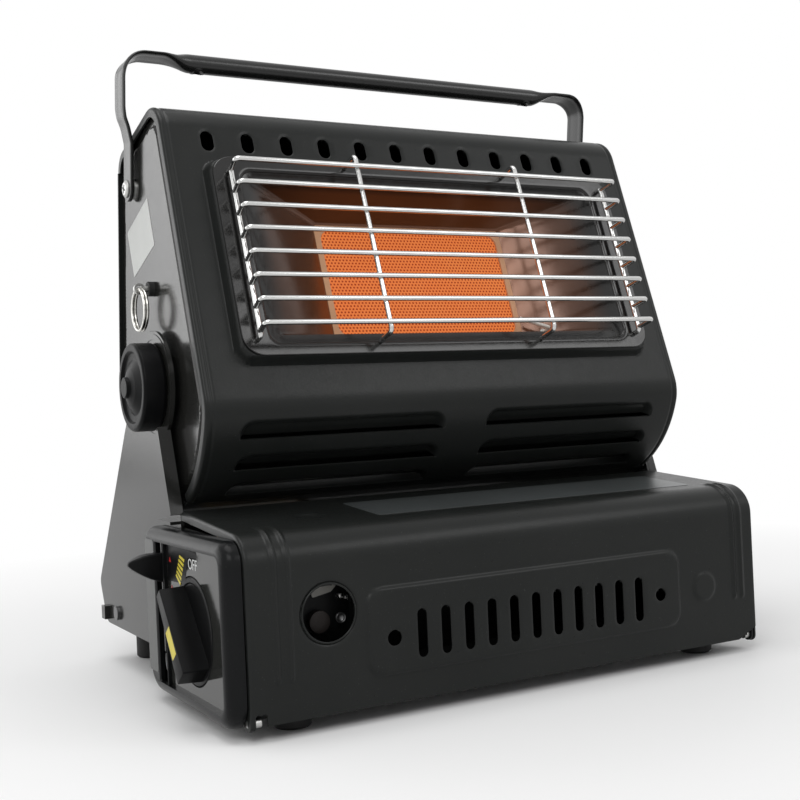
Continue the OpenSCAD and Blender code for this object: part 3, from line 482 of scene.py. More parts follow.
def holeLattice():
    # round holes on a triangular lattice, in metres: two square-cornered lattices, the second shifted by half a cell
    group, given, result = newGroup(
        "holeLattice", [("Vector", "NodeSocketVector", None), ("Pitch", "NodeSocketFloat", 0.0019),
                        ("Hole", "NodeSocketFloat", 0.0005)], [("Mask", "NodeSocketFloat")])
    split = group.nodes.new("ShaderNodeSeparateXYZ")
    link(group, given.outputs["Vector"], split.inputs[0])
    pitch = given.outputs["Pitch"]
    tall = mathNode(group, "MULTIPLY", pitch, math.sqrt(3.0))
    distances = []
    for shift in (0.0, 0.5):
        parts = []
        for axis, cell in (("X", pitch), ("Z", tall)):
            cells = mathNode(group, "ADD", mathNode(group, "DIVIDE", split.outputs[axis], cell), 100.0 + shift)
            off = mathNode(group, "SUBTRACT", mathNode(group, "FRACT", cells), 0.5)
            length = mathNode(group, "MULTIPLY", off, cell)
            parts.append(mathNode(group, "MULTIPLY", length, length))
        distances.append(mathNode(group, "SQRT", mathNode(group, "ADD", parts[0], parts[1])))
    nearest = mathNode(group, "MINIMUM", distances[0], distances[1])
    edge = mathNode(group, "DIVIDE", mathNode(group, "SUBTRACT", given.outputs["Hole"], nearest), 0.00025)
    link(group, mathNode(group, "ADD", edge, 0.5, clamp=True), result.inputs["Mask"])
    return group


def drawnMetal():
    # streaks along the piece: noise stretched many times along x
    group, given, result = newGroup("drawnMetal", [("Vector", "NodeSocketVector", None)], [("Streak", "NodeSocketFloat")])
    stretch = group.nodes.new("ShaderNodeMapping")
    stretch.inputs["Scale"].default_value = (12.0, 900.0, 900.0)
    link(group, given.outputs["Vector"], stretch.inputs["Vector"])
    link(group, noiseNode(group, stretch.outputs["Vector"], 1.0, 3.0), result.inputs["Streak"])
    return group


groups = {"grain": finishGrain(), "lattice": holeLattice(), "drawn": drawnMetal()}


def groupNode(tree, key, vector, **values):
    node = tree.nodes.new("ShaderNodeGroup")
    node.node_tree = groups[key]
    link(tree, vector, node.inputs["Vector"])
    for label, value in values.items():
        node.inputs[label].default_value = value
    return node


def newMaterial(name, metallic=0.0, specular=0.5, coat=0.0):
    material = bpy.data.materials.new(name)
    material.use_nodes = True
    tree = material.node_tree
    shader = tree.nodes["Principled BSDF"]
    shader.inputs["Metallic"].default_value = metallic
    shader.inputs["Specular IOR Level"].default_value = specular
    shader.inputs["Coat Weight"].default_value = coat
    coordinate = tree.nodes.new("ShaderNodeTexCoord")
    return material, tree, shader, coordinate.outputs["Object"]


def mixColour(tree, factor, first, second):
    node = tree.nodes.new("ShaderNodeMix")
    node.data_type = "RGBA"
    sockets = [s for s in node.inputs if s.type == "RGBA"], [s for s in node.inputs if s.type == "VALUE"]
    if isinstance(factor, (int, float)):
        sockets[1][0].default_value = factor
    else:
        link(tree, factor, sockets[1][0])
    for socket, value in zip(sockets[0], (first, second)):
        if isinstance(value, tuple):
            socket.default_value = (*value, 1.0) if len(value) == 3 else value
        else:
            link(tree, value, socket)
    return [s for s in node.outputs if s.type == "RGBA"][0]


def bumpNode(tree, height, distance, strength=1.0):
    node = tree.nodes.new("ShaderNodeBump")
    node.inputs["Distance"].default_value = distance
    node.inputs["Strength"].default_value = strength
    link(tree, height, node.inputs["Height"])
    return node.outputs["Normal"]


def grainMaterial(name, dark, light, roughness, grain=900.0, bump=0.00004, metallic=0.0, specular=0.5,
                  fleck=(0.2, 0.2, 0.2), fleckShare=0.0, coat=0.0):
    # a finish whose colour drifts between two tones, with a roughness that follows and a fine relief
    material, tree, shader, vector = newMaterial(name, metallic, specular, coat)
    grains = groupNode(tree, "grain", vector, Grain=grain)
    colour = mixColour(tree, grains.outputs["Cloud"], dark, light)
    if fleckShare:
        share = mathNode(tree, "MULTIPLY", grains.outputs["Fleck"], fleckShare)
        colour = mixColour(tree, share, colour, fleck)
    link(tree, colour, shader.inputs["Base Color"])
    spread = rangeNode(tree, grains.outputs["Height"], 0.3, 0.7, roughness[0], roughness[1])
    link(tree, spread, shader.inputs["Roughness"])
    link(tree, bumpNode(tree, grains.outputs["Height"], bump), shader.inputs["Normal"])
    return material


def chromeMaterial(name, tone, roughness):
    material, tree, shader, vector = newMaterial(name, metallic=1.0)
    streak = groupNode(tree, "drawn", vector).outputs["Streak"]
    link(tree, mixColour(tree, streak, tuple(0.86 * t for t in tone), tone), shader.inputs["Base Color"])
    link(tree, rangeNode(tree, streak, 0.3, 0.7, roughness[0], roughness[1]), shader.inputs["Roughness"])
    link(tree, bumpNode(tree, streak, 0.00001), shader.inputs["Normal"])
    return material


def headCoordinates(tree, vector):
    # object coordinates turned into the head's own axes: x, depth, height
    node = tree.nodes.new("ShaderNodeMapping")
    node.vector_type = "TEXTURE"
    node.inputs["Location"].default_value = place([0.0, heater["tiltY"], heater["tiltZ"]]).tolist()
    node.inputs["Rotation"].default_value = (-math.radians(heater["lean"]), 0.0, 0.0)
    link(tree, vector, node.inputs["Vector"])
    return node.outputs["Vector"]


plaqueLook = {"glow": (0.54, 0.095, 0.011), "hole": (0.26, 0.022, 0.004), "edge": (0.78, 0.40, 0.20), "strength": 1.0,
              "pitch": 0.0019, "hole radius": 0.00048, "window": (-51.3, 10.5, 51.3, 66.5)}


def plaqueMaterial():
    # glowing ceramic with a lattice of small burner holes that glow darker
    material, tree, shader, vector = newMaterial("plaque_ceramic", specular=0.2)
    own = headCoordinates(tree, vector)
    holes = groupNode(tree, "lattice", own, Pitch=plaqueLook["pitch"], Hole=plaqueLook["hole radius"])
    grains = groupNode(tree, "grain", vector, Grain=500.0)
    patchy = mixColour(tree, grains.outputs["Cloud"], plaqueLook["glow"], tuple(c * f for c, f in zip(plaqueLook["glow"], (1.0, 1.45, 2.2))))
    colour = mixColour(tree, holes.outputs["Mask"], patchy, plaqueLook["hole"])
    link(tree, mixColour(tree, holes.outputs["Mask"], (0.30, 0.115, 0.05), (0.08, 0.02, 0.008)), shader.inputs["Base Color"])
    link(tree, colour, shader.inputs["Emission Color"])
    shader.inputs["Emission Strength"].default_value = plaqueLook["strength"]
    shader.inputs["Roughness"].default_value = 0.85
    sunk = mathNode(tree, "SUBTRACT", 1.0, holes.outputs["Mask"])
    link(tree, bumpNode(tree, sunk, 0.0004), shader.inputs["Normal"])
    return material


def enamelMaterial():
    # glossy dark sheet with the plaque's glow painted on as a painted reflection: warm brown near the plaque, nearly
    # black at the ends
    material, tree, shader, vector = newMaterial("enamel", metallic=0.35, specular=0.6)
    own = headCoordinates(tree, vector)
    split = tree.nodes.new("ShaderNodeSeparateXYZ")
    link(tree, own, split.inputs[0])
    away = mathNode(tree, "ABSOLUTE", split.outputs["X"])
    # painted reflection: the plaque's orange glow is painted into the colour of the slopes and fades out towards the
    # ends
    plaqueGlowReflection = rangeNode(tree, away, 0.056, 0.098, 1.0, 0.0)
    deep = rangeNode(tree, split.outputs["Y"], -0.0575, -0.0525, 0.0, 1.0)
    grains = groupNode(tree, "grain", vector, Grain=350.0)
    glowTint = mixColour(tree, plaqueGlowReflection, (0.010, 0.006, 0.0045), (0.16, 0.055, 0.018))
    cloudy = mixColour(tree, mathNode(tree, "MULTIPLY", grains.outputs["Cloud"], 0.35), glowTint, (0.04, 0.017, 0.009))
    # the flange stays near-black; only the slopes inside the pan carry the painted glow
    colour = mixColour(tree, deep, (0.010, 0.0098, 0.0095), cloudy)
    link(tree, colour, shader.inputs["Base Color"])
    link(tree, rangeNode(tree, grains.outputs["Height"], 0.3, 0.7, 0.13, 0.2), shader.inputs["Roughness"])
    link(tree, bumpNode(tree, grains.outputs["Height"], 0.00003), shader.inputs["Normal"])
    return material


finishes = {
    "steel_black": grainMaterial("steel_black", (0.0085, 0.0095, 0.009), (0.0125, 0.0135, 0.0128), (0.27, 0.37), 950.0, 0.00005,
                                 specular=0.17, fleck=(0.07, 0.075, 0.072), fleckShare=0.4),
    "side_black": grainMaterial("side_black", (0.010, 0.0102, 0.0092), (0.014, 0.0142, 0.013), (0.15, 0.21), 950.0, 0.00002,
                                specular=0.3, fleck=(0.07, 0.075, 0.072), fleckShare=0.3),
    "handle_black": grainMaterial("handle_black", (0.006, 0.0062, 0.006), (0.010, 0.0104, 0.010), (0.2, 0.27), 950.0, 0.00002, specular=0.4),
    "tray_steel": grainMaterial("tray_steel", (0.0085, 0.0095, 0.009), (0.013, 0.014, 0.0135), (0.34, 0.46), 800.0, 0.00006, specular=0.17),
    "rubber": grainMaterial("rubber", (0.009, 0.009, 0.009), (0.018, 0.018, 0.018), (0.65, 0.8), 1400.0, 0.00006, specular=0.3),
    "screw_dark": grainMaterial("screw_dark", (0.07, 0.07, 0.072), (0.13, 0.13, 0.13), (0.28, 0.4), 1200.0, 0.00002, metallic=0.9),
    "bezel_plastic": grainMaterial("bezel_plastic", (0.006, 0.0064, 0.0068), (0.008, 0.0084, 0.0088), (0.2, 0.28), 1500.0, 0.00002,
                                   specular=0.1, fleck=(0.05, 0.05, 0.05), fleckShare=0.3),
    "face_plastic": grainMaterial("face_plastic", (0.016, 0.0165, 0.015), (0.022, 0.0225, 0.021), (0.07, 0.11), 1200.0, 0.00001, specular=0.45),
    "dial_plastic": grainMaterial("dial_plastic", (0.003, 0.0031, 0.0033), (0.005, 0.0052, 0.0055), (0.3, 0.38), 1600.0, 0.00002, specular=0.08),
    "knob_plastic": grainMaterial("knob_plastic", (0.0035, 0.0036, 0.0038), (0.005, 0.0052, 0.0055), (0.3, 0.4), 1300.0, 0.00004, specular=0.06),
    "zinc_steel": grainMaterial("zinc_steel", (0.42, 0.42, 0.41), (0.56, 0.56, 0.54), (0.26, 0.38), 700.0, 0.00002, metallic=1.0),
    "ring_steel": chromeMaterial("ring_steel", (0.62, 0.61, 0.58), (0.14, 0.24)),
    "regulator_metal": grainMaterial("regulator_metal", (0.12, 0.12, 0.12), (0.22, 0.22, 0.22), (0.35, 0.5), 900.0, 0.00008, metallic=0.8),
    "piezo_white": grainMaterial("piezo_white", (0.62, 0.61, 0.58), (0.74, 0.73, 0.70), (0.35, 0.45), 900.0, 0.00002),
    "cap_brown": grainMaterial("cap_brown", (0.008, 0.006, 0.0055), (0.012, 0.009, 0.008), (0.5, 0.6), 1500.0, 0.00005, specular=0.2),
    "cast_grey": grainMaterial("cast_grey", (0.13, 0.125, 0.115), (0.2, 0.195, 0.18), (0.5, 0.6), 1500.0, 0.00008),
    "magnet": grainMaterial("magnet", (0.10, 0.10, 0.105), (0.16, 0.16, 0.165), (0.4, 0.55), 1000.0, 0.00005, metallic=0.5),
    "brass": grainMaterial("brass", (0.44, 0.28, 0.11), (0.60, 0.41, 0.18), (0.24, 0.36), 800.0, 0.00002, metallic=1.0),
    "plaque_ceramic": plaqueMaterial(),
    "enamel": enamelMaterial(),
    "electrode_ceramic": grainMaterial("electrode_ceramic", (0.62, 0.60, 0.55), (0.74, 0.72, 0.67), (0.3, 0.4), 600.0, 0.00003),
    "guard_chrome": chromeMaterial("guard_chrome", (0.64, 0.64, 0.63), (0.08, 0.16)),
}
print("materials made:", len(finishes))

# the lid: one sheet up the front, round the bend and back, with pressed panel, slots, window and ribs
lid = {"foot": 6.5, "bend": 14.0, "bendHeight": 68.14, "topAngle": 94.86, "rear": 73.0, "rearHeight": 87.205,
       "edgeRadius": 1.5, "hem": 2.4, "wall": 1.0, "slots": 11, "slotGap": 11.7, "slotMid": (1.5, 34.1),
       "slotSize": (4.6, 20.5), "window": (-99.4, 47.4, 12.0), "rivets": [(-70.4, 33.7, 3.3), (73.1, 34.7, 3.0)],
       "panel": (-81.7, 19.8, 84.0, 53.8), "panelRise": 1.3, "ribs": [(-122.6, 22.0), (-116.8, 22.0), (121.0, 27.0), (126.0, 27.0)]}


def slotField(x, z, cx, cz, width, height):
    # distance to a slot with round ends
    r = width / 2
    return np.hypot(x - cx, np.maximum(np.abs(z - cz) - height / 2 + r, 0)) - r


def makeLid():
    path = walk((0.0, lid["foot"]), [(lid["bend"], lid["bendHeight"], lid["bend"], 180.0, lid["topAngle"])],
                (lid["rear"], lid["rearHeight"]))
    bendEnd = (lid["bendHeight"] - lid["foot"]) + lid["bend"] * math.radians(180.0 - lid["topAngle"])
    slopeY = math.cos(math.radians(lid["topAngle"] - 90.0))
    bendEndY = lid["bend"] * (1 + math.cos(math.radians(lid["topAngle"])))

    def onTop(y):
        return bendEnd + (y - bendEndY) / slopeY

    def holesAt(x, s):
        z = s + lid["foot"]
        field = np.full(np.shape(x), 99.0)
        for i in range(lid["slots"]):
            cx = lid["slotMid"][0] + (i - (lid["slots"] - 1) / 2) * lid["slotGap"]
            field = np.minimum(field, slotField(x, z, cx, lid["slotMid"][1], *lid["slotSize"]))
        for cx, cz, r in lid["rivets"] + [lid["window"]]:
            field = np.minimum(field, np.hypot(x - cx, z - cz) - r)
        return field

    def hole(x, s):
        z = s + lid["foot"]
        corner = ((z - 6.1) * 13.3 - (x - 121.7) * 6.0) / math.hypot(13.3, 6.0)
        corner = np.where(x > 115, corner, 99.0)
        notch = boxField(x, z, -133.0, -5.0, -128.0, 12.0, 1.5)
        return np.minimum(np.minimum(holesAt(x, s), corner), notch)

    def relief(x, s):
        z = s + lid["foot"]
        rise = lid["panelRise"] * smooth(1 - boxField(x, z, *lid["panel"], 6.0) / 1.9)
        for cx, low in lid["ribs"]:
            away = np.hypot(x - cx, np.maximum(np.maximum(low + 1.4 - z, s - bendEnd - 3.0), 0))
            rise = rise + 0.95 * smooth(1 - away / 1.8)
        rise = rise + 0.8 * smooth((7.4 - np.hypot(x - 101.3, z - 35.2)) / 1.4)
        rise = rise - 1.1 * smooth((7.2 - np.hypot(x + 91.0, s - onTop(33.8))) / 1.6)
        wx, wz, wr = lid["window"]
        rise = rise - 0.9 * smooth((wr + 1.6 - np.hypot(x - wx, z - wz)) / 1.6)
        return rise - 0.35 * smooth((0.8 - holesAt(x, s)) / 0.8)

    reach = heater["halfWidth"] - lid["edgeRadius"] + lid["edgeRadius"] * math.pi / 2 + lid["hem"]
    flat = heater["halfWidth"] - lid["edgeRadius"]
    bendLines = [k * (flat + lid["edgeRadius"] * math.pi / 2 * i / 6) for i in range(7) for k in (-1, 1)]
    tLines = spacedLines(-reach, reach, 4.0, [
        (-133.4, -126.5, 0.9), (-125.2, -114.2, 0.55), (-114.0, -84.5, 0.85), (-84.5, -80.5, 0.6), (-75.0, -66.0, 0.8),
        (-60.5, 63.5, 0.76), (68.5, 77.5, 0.8), (82.5, 87.0, 0.6), (92.5, 110.0, 1.0), (118.5, 128.5, 0.6),
        (128.5, 133.5, 1.2)], bendLines)
    sLines = spacedLines(0, path["length"], 4.0, [
        (0.0, 6.4, 0.8), (10.5, 15.0, 0.6), (15.0, 45.6, 0.85), (45.6, 50.6, 0.6), (50.6, 54.5, 1.0),
        (60.0, bendEnd + 4.0, 1.3), (onTop(25.5), onTop(42.0), 0.9)])
    piece = bentSheet("cartridge_lid_sheet", path, heater["halfWidth"], lid["edgeRadius"], tLines, sLines,
                      relief, hole, place, lid["wall"])
    return fit(piece, "lid", "steel_black", finishes["steel_black"], "cartridge_lid")


makeLid()


def makeHingeLugs():
    # the lid's two hinge lugs: rounded plates behind its lower front corners, each with the pin's head on it
    loops = []
    for sign in (-1, 1):
        outline = loopRound(1.0, 4.2, 8.0, 15.0, 3.2)
        for x, inset in ((133.9, 0.0), (134.0, 0.0), (134.8, 0.0), (134.95, 0.15)):
            around = loopRound(1.0 + inset, 4.2 + inset, 8.0 - inset, 15.0 - inset, 3.2 - inset)
            loops.append(np.column_stack([np.full(len(outline), sign * x), around]))
    stacks = [np.array(loops[:4]), np.array(loops[4:])]
    piece = joinSkins("lid_hinge_lugs", [place(s) for s in stacks])
    return fit(piece, "lid", "steel_black", finishes["steel_black"])


makeHingeLugs()

# a bare grey plate where the instructions were, lying on the lid's top
lidPlate = {"x": (-64.0, 114.0), "y": (20.5, 57.0), "thick": 0.12}


def makeLidPlate():
    slope = math.tan(math.radians(lid["topAngle"] - 90.0))
    loops = []
    for lift, inset in ((0.0, 0.0), (lidPlate["thick"], 0.0), (lidPlate["thick"], 0.3)):
        ring = loopRound(lidPlate["x"][0] + inset, lidPlate["y"][0] + inset, lidPlate["x"][1] - inset, lidPlate["y"][1] - inset, 2.5 - inset)
        z = lid["rearHeight"] + (ring[:, 1] - lid["rear"]) * slope + lift + 0.01
        loops.append(np.column_stack([ring, z]))
    piece = loft("lid_plate", place(np.array(loops)))
    finish = grainMaterial("plate_grey", (0.045, 0.05, 0.05), (0.06, 0.066, 0.067), (0.3, 0.36), 1500.0, 0.00001, specular=0.5)
    return fit(piece, "lid", "steel_black", finish)


makeLidPlate()
print("lid done")

# the burner head's front shell: top, raised frame round the mouth, oval slots and pressed louvers
shell = {"half": 131.6, "edgeRadius": 1.6, "hem": 2.9, "wall": 1.0, "top": (5.9, 116.6, 12.0), "front": (-35.5, 107.8, 17.0),
         "drum": 60.5, "face": 52.5, "joint": 20.0, "bellyEnd": 260.4, "frame": (-115.0, -11.5, 115.0, 91.0), "rise": 6.0,
         "mouth": (-100.2, -4.0, 100.2, 83.2), "slots": 12, "slotGap": 19.95, "slotHeight": 101.3, "slotSize": (6.15, 10.45),
         "louvers": (223.7, 239.4, 255.5), "louverX": (11.5, 115.5), "louverSpan": 9.0, "louverDepth": 4.3}


def makeShell():
    jointHeight = -math.sqrt((shell["drum"] - shell["joint"]) ** 2 - (shell["face"] - shell["joint"]) ** 2)
    jointEnd = math.degrees(math.atan2(jointHeight, -shell["face"] + shell["joint"])) % 360
    tangent = (26.15, 95.2)
    start = np.array(shell["top"][:2]) + shell["top"][2] * np.array([math.cos(math.radians(tangent[0])), math.sin(math.radians(tangent[0]))])
    path = walk(start, [(*shell["top"], *tangent), (*shell["front"], tangent[1], 180.0),
                        (-shell["face"] + shell["joint"], jointHeight, shell["joint"], 180.0, jointEnd),
                        (0.0, 0.0, shell["drum"], jointEnd, shell["bellyEnd"])], None)
    heightTable = path["point"][:, 1]
    frontRows = (np.abs(path["angle"] - 180.0) < 1e-6)
    faceTop = path["distance"][frontRows][0]

    def sAt(w):
        return faceTop + (shell["front"][1] - w)

    def sBelly(angle):
        return path["length"] - math.radians(shell["bellyEnd"] - angle) * shell["drum"]

    edges = [sBelly(a) for a in shell["louvers"]]
    strip = 0.32

    def heightOf(s):
        return shell["front"][1] - (s - faceTop)

    def slotsAt(x, w):
        field = np.full(np.shape(x), 99.0)
        for i in range(shell["slots"]):
            field = np.minimum(field, slotField(x, w, (i - (shell["slots"] - 1) / 2) * shell["slotGap"], shell["slotHeight"], *shell["slotSize"]))
        return field

    def hole(x, s):
        w = heightOf(s)
        return np.minimum(slotsAt(x, w), boxField(x, w, *shell["mouth"], 6.0))

    def relief(x, s):
        w = heightOf(s)
        rise = shell["rise"] * smooth(-boxField(x, w, *shell["frame"], 8.0) / 3.0)
        rise = rise - 0.35 * smooth((0.9 - slotsAt(x, w)) / 0.9)
        a = np.abs(x)
        rise = rise - 0.4 * np.exp(-((a - 128.1) / 0.75) ** 2)
        for edge in edges:
            top = edge - shell["louverSpan"]
            inside = -boxField(a, s, shell["louverX"][0], top, shell["louverX"][1], edge + 30.0, 7.0)
            ramp = np.clip((s - top) / shell["louverSpan"], 0, 1)
            ramp = (np.sqrt(ramp ** 2 + 0.02) - math.sqrt(0.02)) / (math.sqrt(1.02) - math.sqrt(0.02))
            deep = shell["louverDepth"] * smooth(inside / 3.2) * (0.25 + 0.75 * ramp)
            rise = rise - np.where(s <= edge + 0.01, deep, 0.0)
        return rise

    flat = shell["half"] - shell["edgeRadius"]
    reach = flat + shell["edgeRadius"] * math.pi / 2 + shell["hem"]
    bendLines = [k * (flat + shell["edgeRadius"] * math.pi / 2 * i / 6) for i in range(7) for k in (-1, 1)]
    zones = [((i - 5.5) * shell["slotGap"] - 4.2, (i - 5.5) * shell["slotGap"] + 4.2, 0.6) for i in range(shell["slots"])]
    zones += [(-130.2, -126.2, 0.45), (126.2, 130.2, 0.45)]
    for sign in (-1, 1):
        for low, high, gap in ((8.5, 21.0, 0.9), (96.0, 102.5, 0.8), (105.5, 116.6, 0.7)):
            zones.append((min(sign * low, sign * high), max(sign * low, sign * high), gap))
    tLines = spacedLines(-reach, reach, 4.5, zones, bendLines)
    sZones = [(0.0, 15.6, 1.4), (faceTop - 25.5, faceTop + 1, 1.4), (sAt(108.0), sAt(94.6), 0.8), (sAt(92.0), sAt(81.0), 0.75),
              (sAt(-1.5), sAt(-12.5), 0.75), (sAt(-20.0), path["length"], 1.8)]
    sZones += [(e - shell["louverSpan"] - 1.0, e + 0.5, 0.8) for e in edges]
    sLines = spacedLines(0, path["length"], 5.0, sZones, [v for e in edges for v in (e, e + strip)])
    piece = bentSheet("head_shell", path, shell["half"], shell["edgeRadius"], tLines, sLines, relief, hole,
                      placeHead, shell["wall"], [(e, 0.45) for e in edges])
    return fit(piece, "head", "steel_black", finishes["steel_black"], "head_wrap")


makeShell()
print("head shell done")

# the flat sides inside the shell's rim, a step lower along it
panel = {"outer": 130.6, "wall": 1.0, "inset": 1.1, "rim": 9.0, "step": 1.3, "rear": (48.1, 26.0, 14.0), "drumEnd": 356.65,
         "holes": [(0.0, 0.0, 3.1), (-1.0, 103.2, 2.3)], "ringHole": (-6.6, 46.9, 1.6)}


def headOutline(inset):
    # corners of the head's side view: top, front, the two belly arcs and the rear bend, all moved inward
    jointHeight = -math.sqrt((shell["drum"] - shell["joint"]) ** 2 - (shell["face"] - shell["joint"]) ** 2)
    jointEnd = math.degrees(math.atan2(jointHeight, -shell["face"] + shell["joint"])) % 360
    arcs = [(*shell["top"], 26.15, 95.2), (*shell["front"], 95.2, 180.0),
            (-shell["face"] + shell["joint"], jointHeight, shell["joint"], 180.0, jointEnd),
            (0.0, 0.0, shell["drum"], jointEnd, panel["drumEnd"]), (*panel["rear"], panel["drumEnd"] - 360.0, 26.15)]
    points = []
    for cu, cw, r, first, last in arcs:
        turn = np.radians(np.linspace(first, last, max(3, int(abs(last - first) / 4))))
        points.append(np.column_stack([cu + (r - inset) * np.cos(turn), cw + (r - inset) * np.sin(turn)]))
    return np.concatenate(points)


def insideDistance(u, w, outline):
    # distance to the nearest side of an outline that bulges everywhere, positive inside
    after = np.roll(outline, -1, axis=0)
    keep = np.linalg.norm(after - outline, axis=1) > 1e-6
    a, along = outline[keep], unit((after - outline)[keep])
    nearest = np.full(np.shape(u), 1e9)
    for (pu, pw), (du, dw) in zip(a, along):
        nearest = np.minimum(nearest, (w - pw) * du - (u - pu) * dw)
    return nearest


def makeSides():
    outline = headOutline(panel["inset"])
    low, high = outline.min(0), outline.max(0)
    holes = panel["holes"] + [panel["ringHole"]]
    uLines = spacedLines(low[0] - 0.5, high[0] + 0.5, 0.8, [(c[0] - 3, c[0] + 3, 0.6) for c in holes])
    wLines = spacedLines(low[1] - 0.5, high[1] + 0.5, 0.8, [(c[1] - 3, c[1] + 3, 0.6) for c in holes])
    u, w = np.meshgrid(uLines, wLines)
    edge = insideDistance(u, w, outline)
    for sign, sideName in ((-1, "left"), (1, "right")):
        field = edge
        for cu, cw, r in panel["holes"] + ([panel["ringHole"]] if sign < 0 else []):
            field = np.minimum(field, np.hypot(u - cu, w - cw) - r)
        x = panel["outer"] - panel["step"] * smooth((panel["rim"] - panel["inset"] + 0.25 - edge) / 0.5)
        points, sets = cutSheet(np.stack([sign * x, u, w], -1), field)
        sets = [f if sign > 0 else f[:, ::-1] for f in sets]
        piece = makePiece("head_panel_" + sideName, placeHead(points), sets, closed=False)
        if piece.data.polygons[0].normal.x * sign < 0:
            piece.data.flip_normals()
        thicken(piece, panel["wall"])
        fit(piece, "head", "steel_black", finishes["side_black"], "head_side_" + sideName)


makeSides()


def makeBaffle():
    # folded air baffle across the head, between the louvers and the burner's tube
    outline = [(-24.4, 3.2), (-24.4, -46.4), (-9.4, -46.4), (-9.4, -56.5), (-8.6, -56.5), (-8.6, -45.6), (-23.6, -45.6), (-23.6, 3.2)]
    loops = [np.column_stack([np.full(len(outline), x), outline]) for x in (-129.0, 129.0)]
    piece = loft("air_baffle", placeHead(np.array(loops)))
    return fit(piece, "head", "tray_steel", finishes["tray_steel"])


makeBaffle()
print("head sides done")

# the reflector pan: flat flange on the raised frame, round lip, four slopes down to the plaque
pan = {"flange": (-112.6, -9.0, 112.6, 89.3), "mouth": (-99.2, -3.0, 99.2, 82.2), "floor": (-54.4, 7.6, 54.4, 69.4), "face": 52.5}


def makePan():
    def loop(box, grow, n, r):
        x0, z0, x1, z1 = box
        ring = loopRound(x0 - grow, z0 - grow, x1 + grow, z1 + grow, r)
        return np.column_stack([ring[:, 0], np.full(len(ring), -pan["face"] - n), ring[:, 1]])

    lip = [loop(pan["mouth"], 1.6 * (1 - math.sin(a)), 7.15 - 1.6 * (1 - math.cos(a)), 6.0) for a in np.radians([0, 20, 40, 60, 75])]
    loops = [loop(pan["flange"], 0.0, 6.05, 10.0), loop(pan["flange"], 0.0, 6.9, 10.0), loop(pan["flange"], -0.3, 7.15, 9.7)]
    loops += [loop(pan["mouth"], 2.4, 7.15, 7.0)] + lip
    loops += [loop(pan["mouth"], -4.5, 4.4, 5.0), loop(pan["floor"], 1.4, -17.7, 2.4), loop(pan["floor"], 0.0, -18.9, 2.0),
              loop(pan["floor"], 0.9, -19.0, 2.4), loop(pan["floor"], 2.0, -17.9, 3.0), loop(pan["mouth"], -3.6, 4.2, 6.0),
              loop(pan["mouth"], 0.9, 5.6, 7.0), loop(pan["mouth"], 2.4, 6.05, 8.0)]
    piece = loft("reflector_pan_sheet", placeHead(np.array(loops)), ring=True, crease=28.0)
    return fit(piece, "head", "enamel", finishes["enamel"], "reflector_pan")


makePan()

# the plated guard: level wires, side rods and two hooked middle rods
guard = {"radius": 1.2, "wires": 8, "low": 0.6, "high": 80.1, "wireX": 106.9, "rodX": 105.4, "wireN": 21.0, "rodN": 10.8,
         "seatN": 7.15, "middleX": 45.25, "middleN": 19.3}


def makeGuard():
    face = pan["face"]
    stacks = []
    for w in np.linspace(guard["low"], guard["high"], guard["wires"]):
        path = filletPath([(-guard["rodX"], -face - guard["rodN"] + 0.6, w), (-guard["wireX"], -face - guard["wireN"], w),
                           (guard["wireX"], -face - guard["wireN"], w), (guard["rodX"], -face - guard["rodN"] + 0.6, w)], [1.8, 1.8], 7)
        stacks.append(tubeLoops(path, guard["radius"], (0, 0, 1)))
    for x in (-guard["rodX"], guard["rodX"]):
        path = filletPath([(x, -face - guard["seatN"], -1.4), (x, -face - guard["rodN"], -1.4),
                           (x, -face - guard["rodN"], 80.9), (x, -face - guard["seatN"], 80.9)], [1.6, 1.6], 6)
        stacks.append(tubeLoops(path, guard["radius"], (1, 0, 0)))
    for x in (-guard["middleX"], guard["middleX"]):
        path = filletPath([(x, -face - guard["seatN"], -3.4), (x, -face - guard["middleN"], -3.4),
                           (x, -face - guard["middleN"], 86.5), (x, -face - guard["seatN"], 86.5)], [2.6, 2.6], 7)
        stacks.append(tubeLoops(path, guard["radius"], (1, 0, 0)))
    piece = joinSkins("guard_wires", [placeHead(s) for s in stacks])
    return fit(piece, "head", "guard_chrome", finishes["guard_chrome"], "wire_guard")


makeGuard()
print("pan and guard done")

# the carrying handle: strap at the foot, flattened tube up the sides, round tube across the top
handle = {"pivot": (-1.0, 103.2), "lean": 7.9, "reach": 62.7, "tube": 4.6, "footX": 132.95, "sideX": 135.6, "flush": 1.4, "tilt": 0.2, "hole": 101.9, "holeTurn": 4.5, "corner": 10.0}


def placeHandle(points):
    # handle axes (x, across, up) leaned forward about its screws, in the drawing's frame
    p = np.asarray(points, float)
    u, w = handle["pivot"]
    y0 = heater["tiltY"] + u * leanCos + w * leanSin
    z0 = heater["tiltZ"] - u * leanSin + w * leanCos
    c, s = math.cos(math.radians(handle["lean"])), math.sin(math.radians(handle["lean"]))
    y, z = p[..., 1], p[..., 2]
    return place(np.stack([p[..., 0], y0 + y * c - z * s, z0 + y * s + z * c], -1))


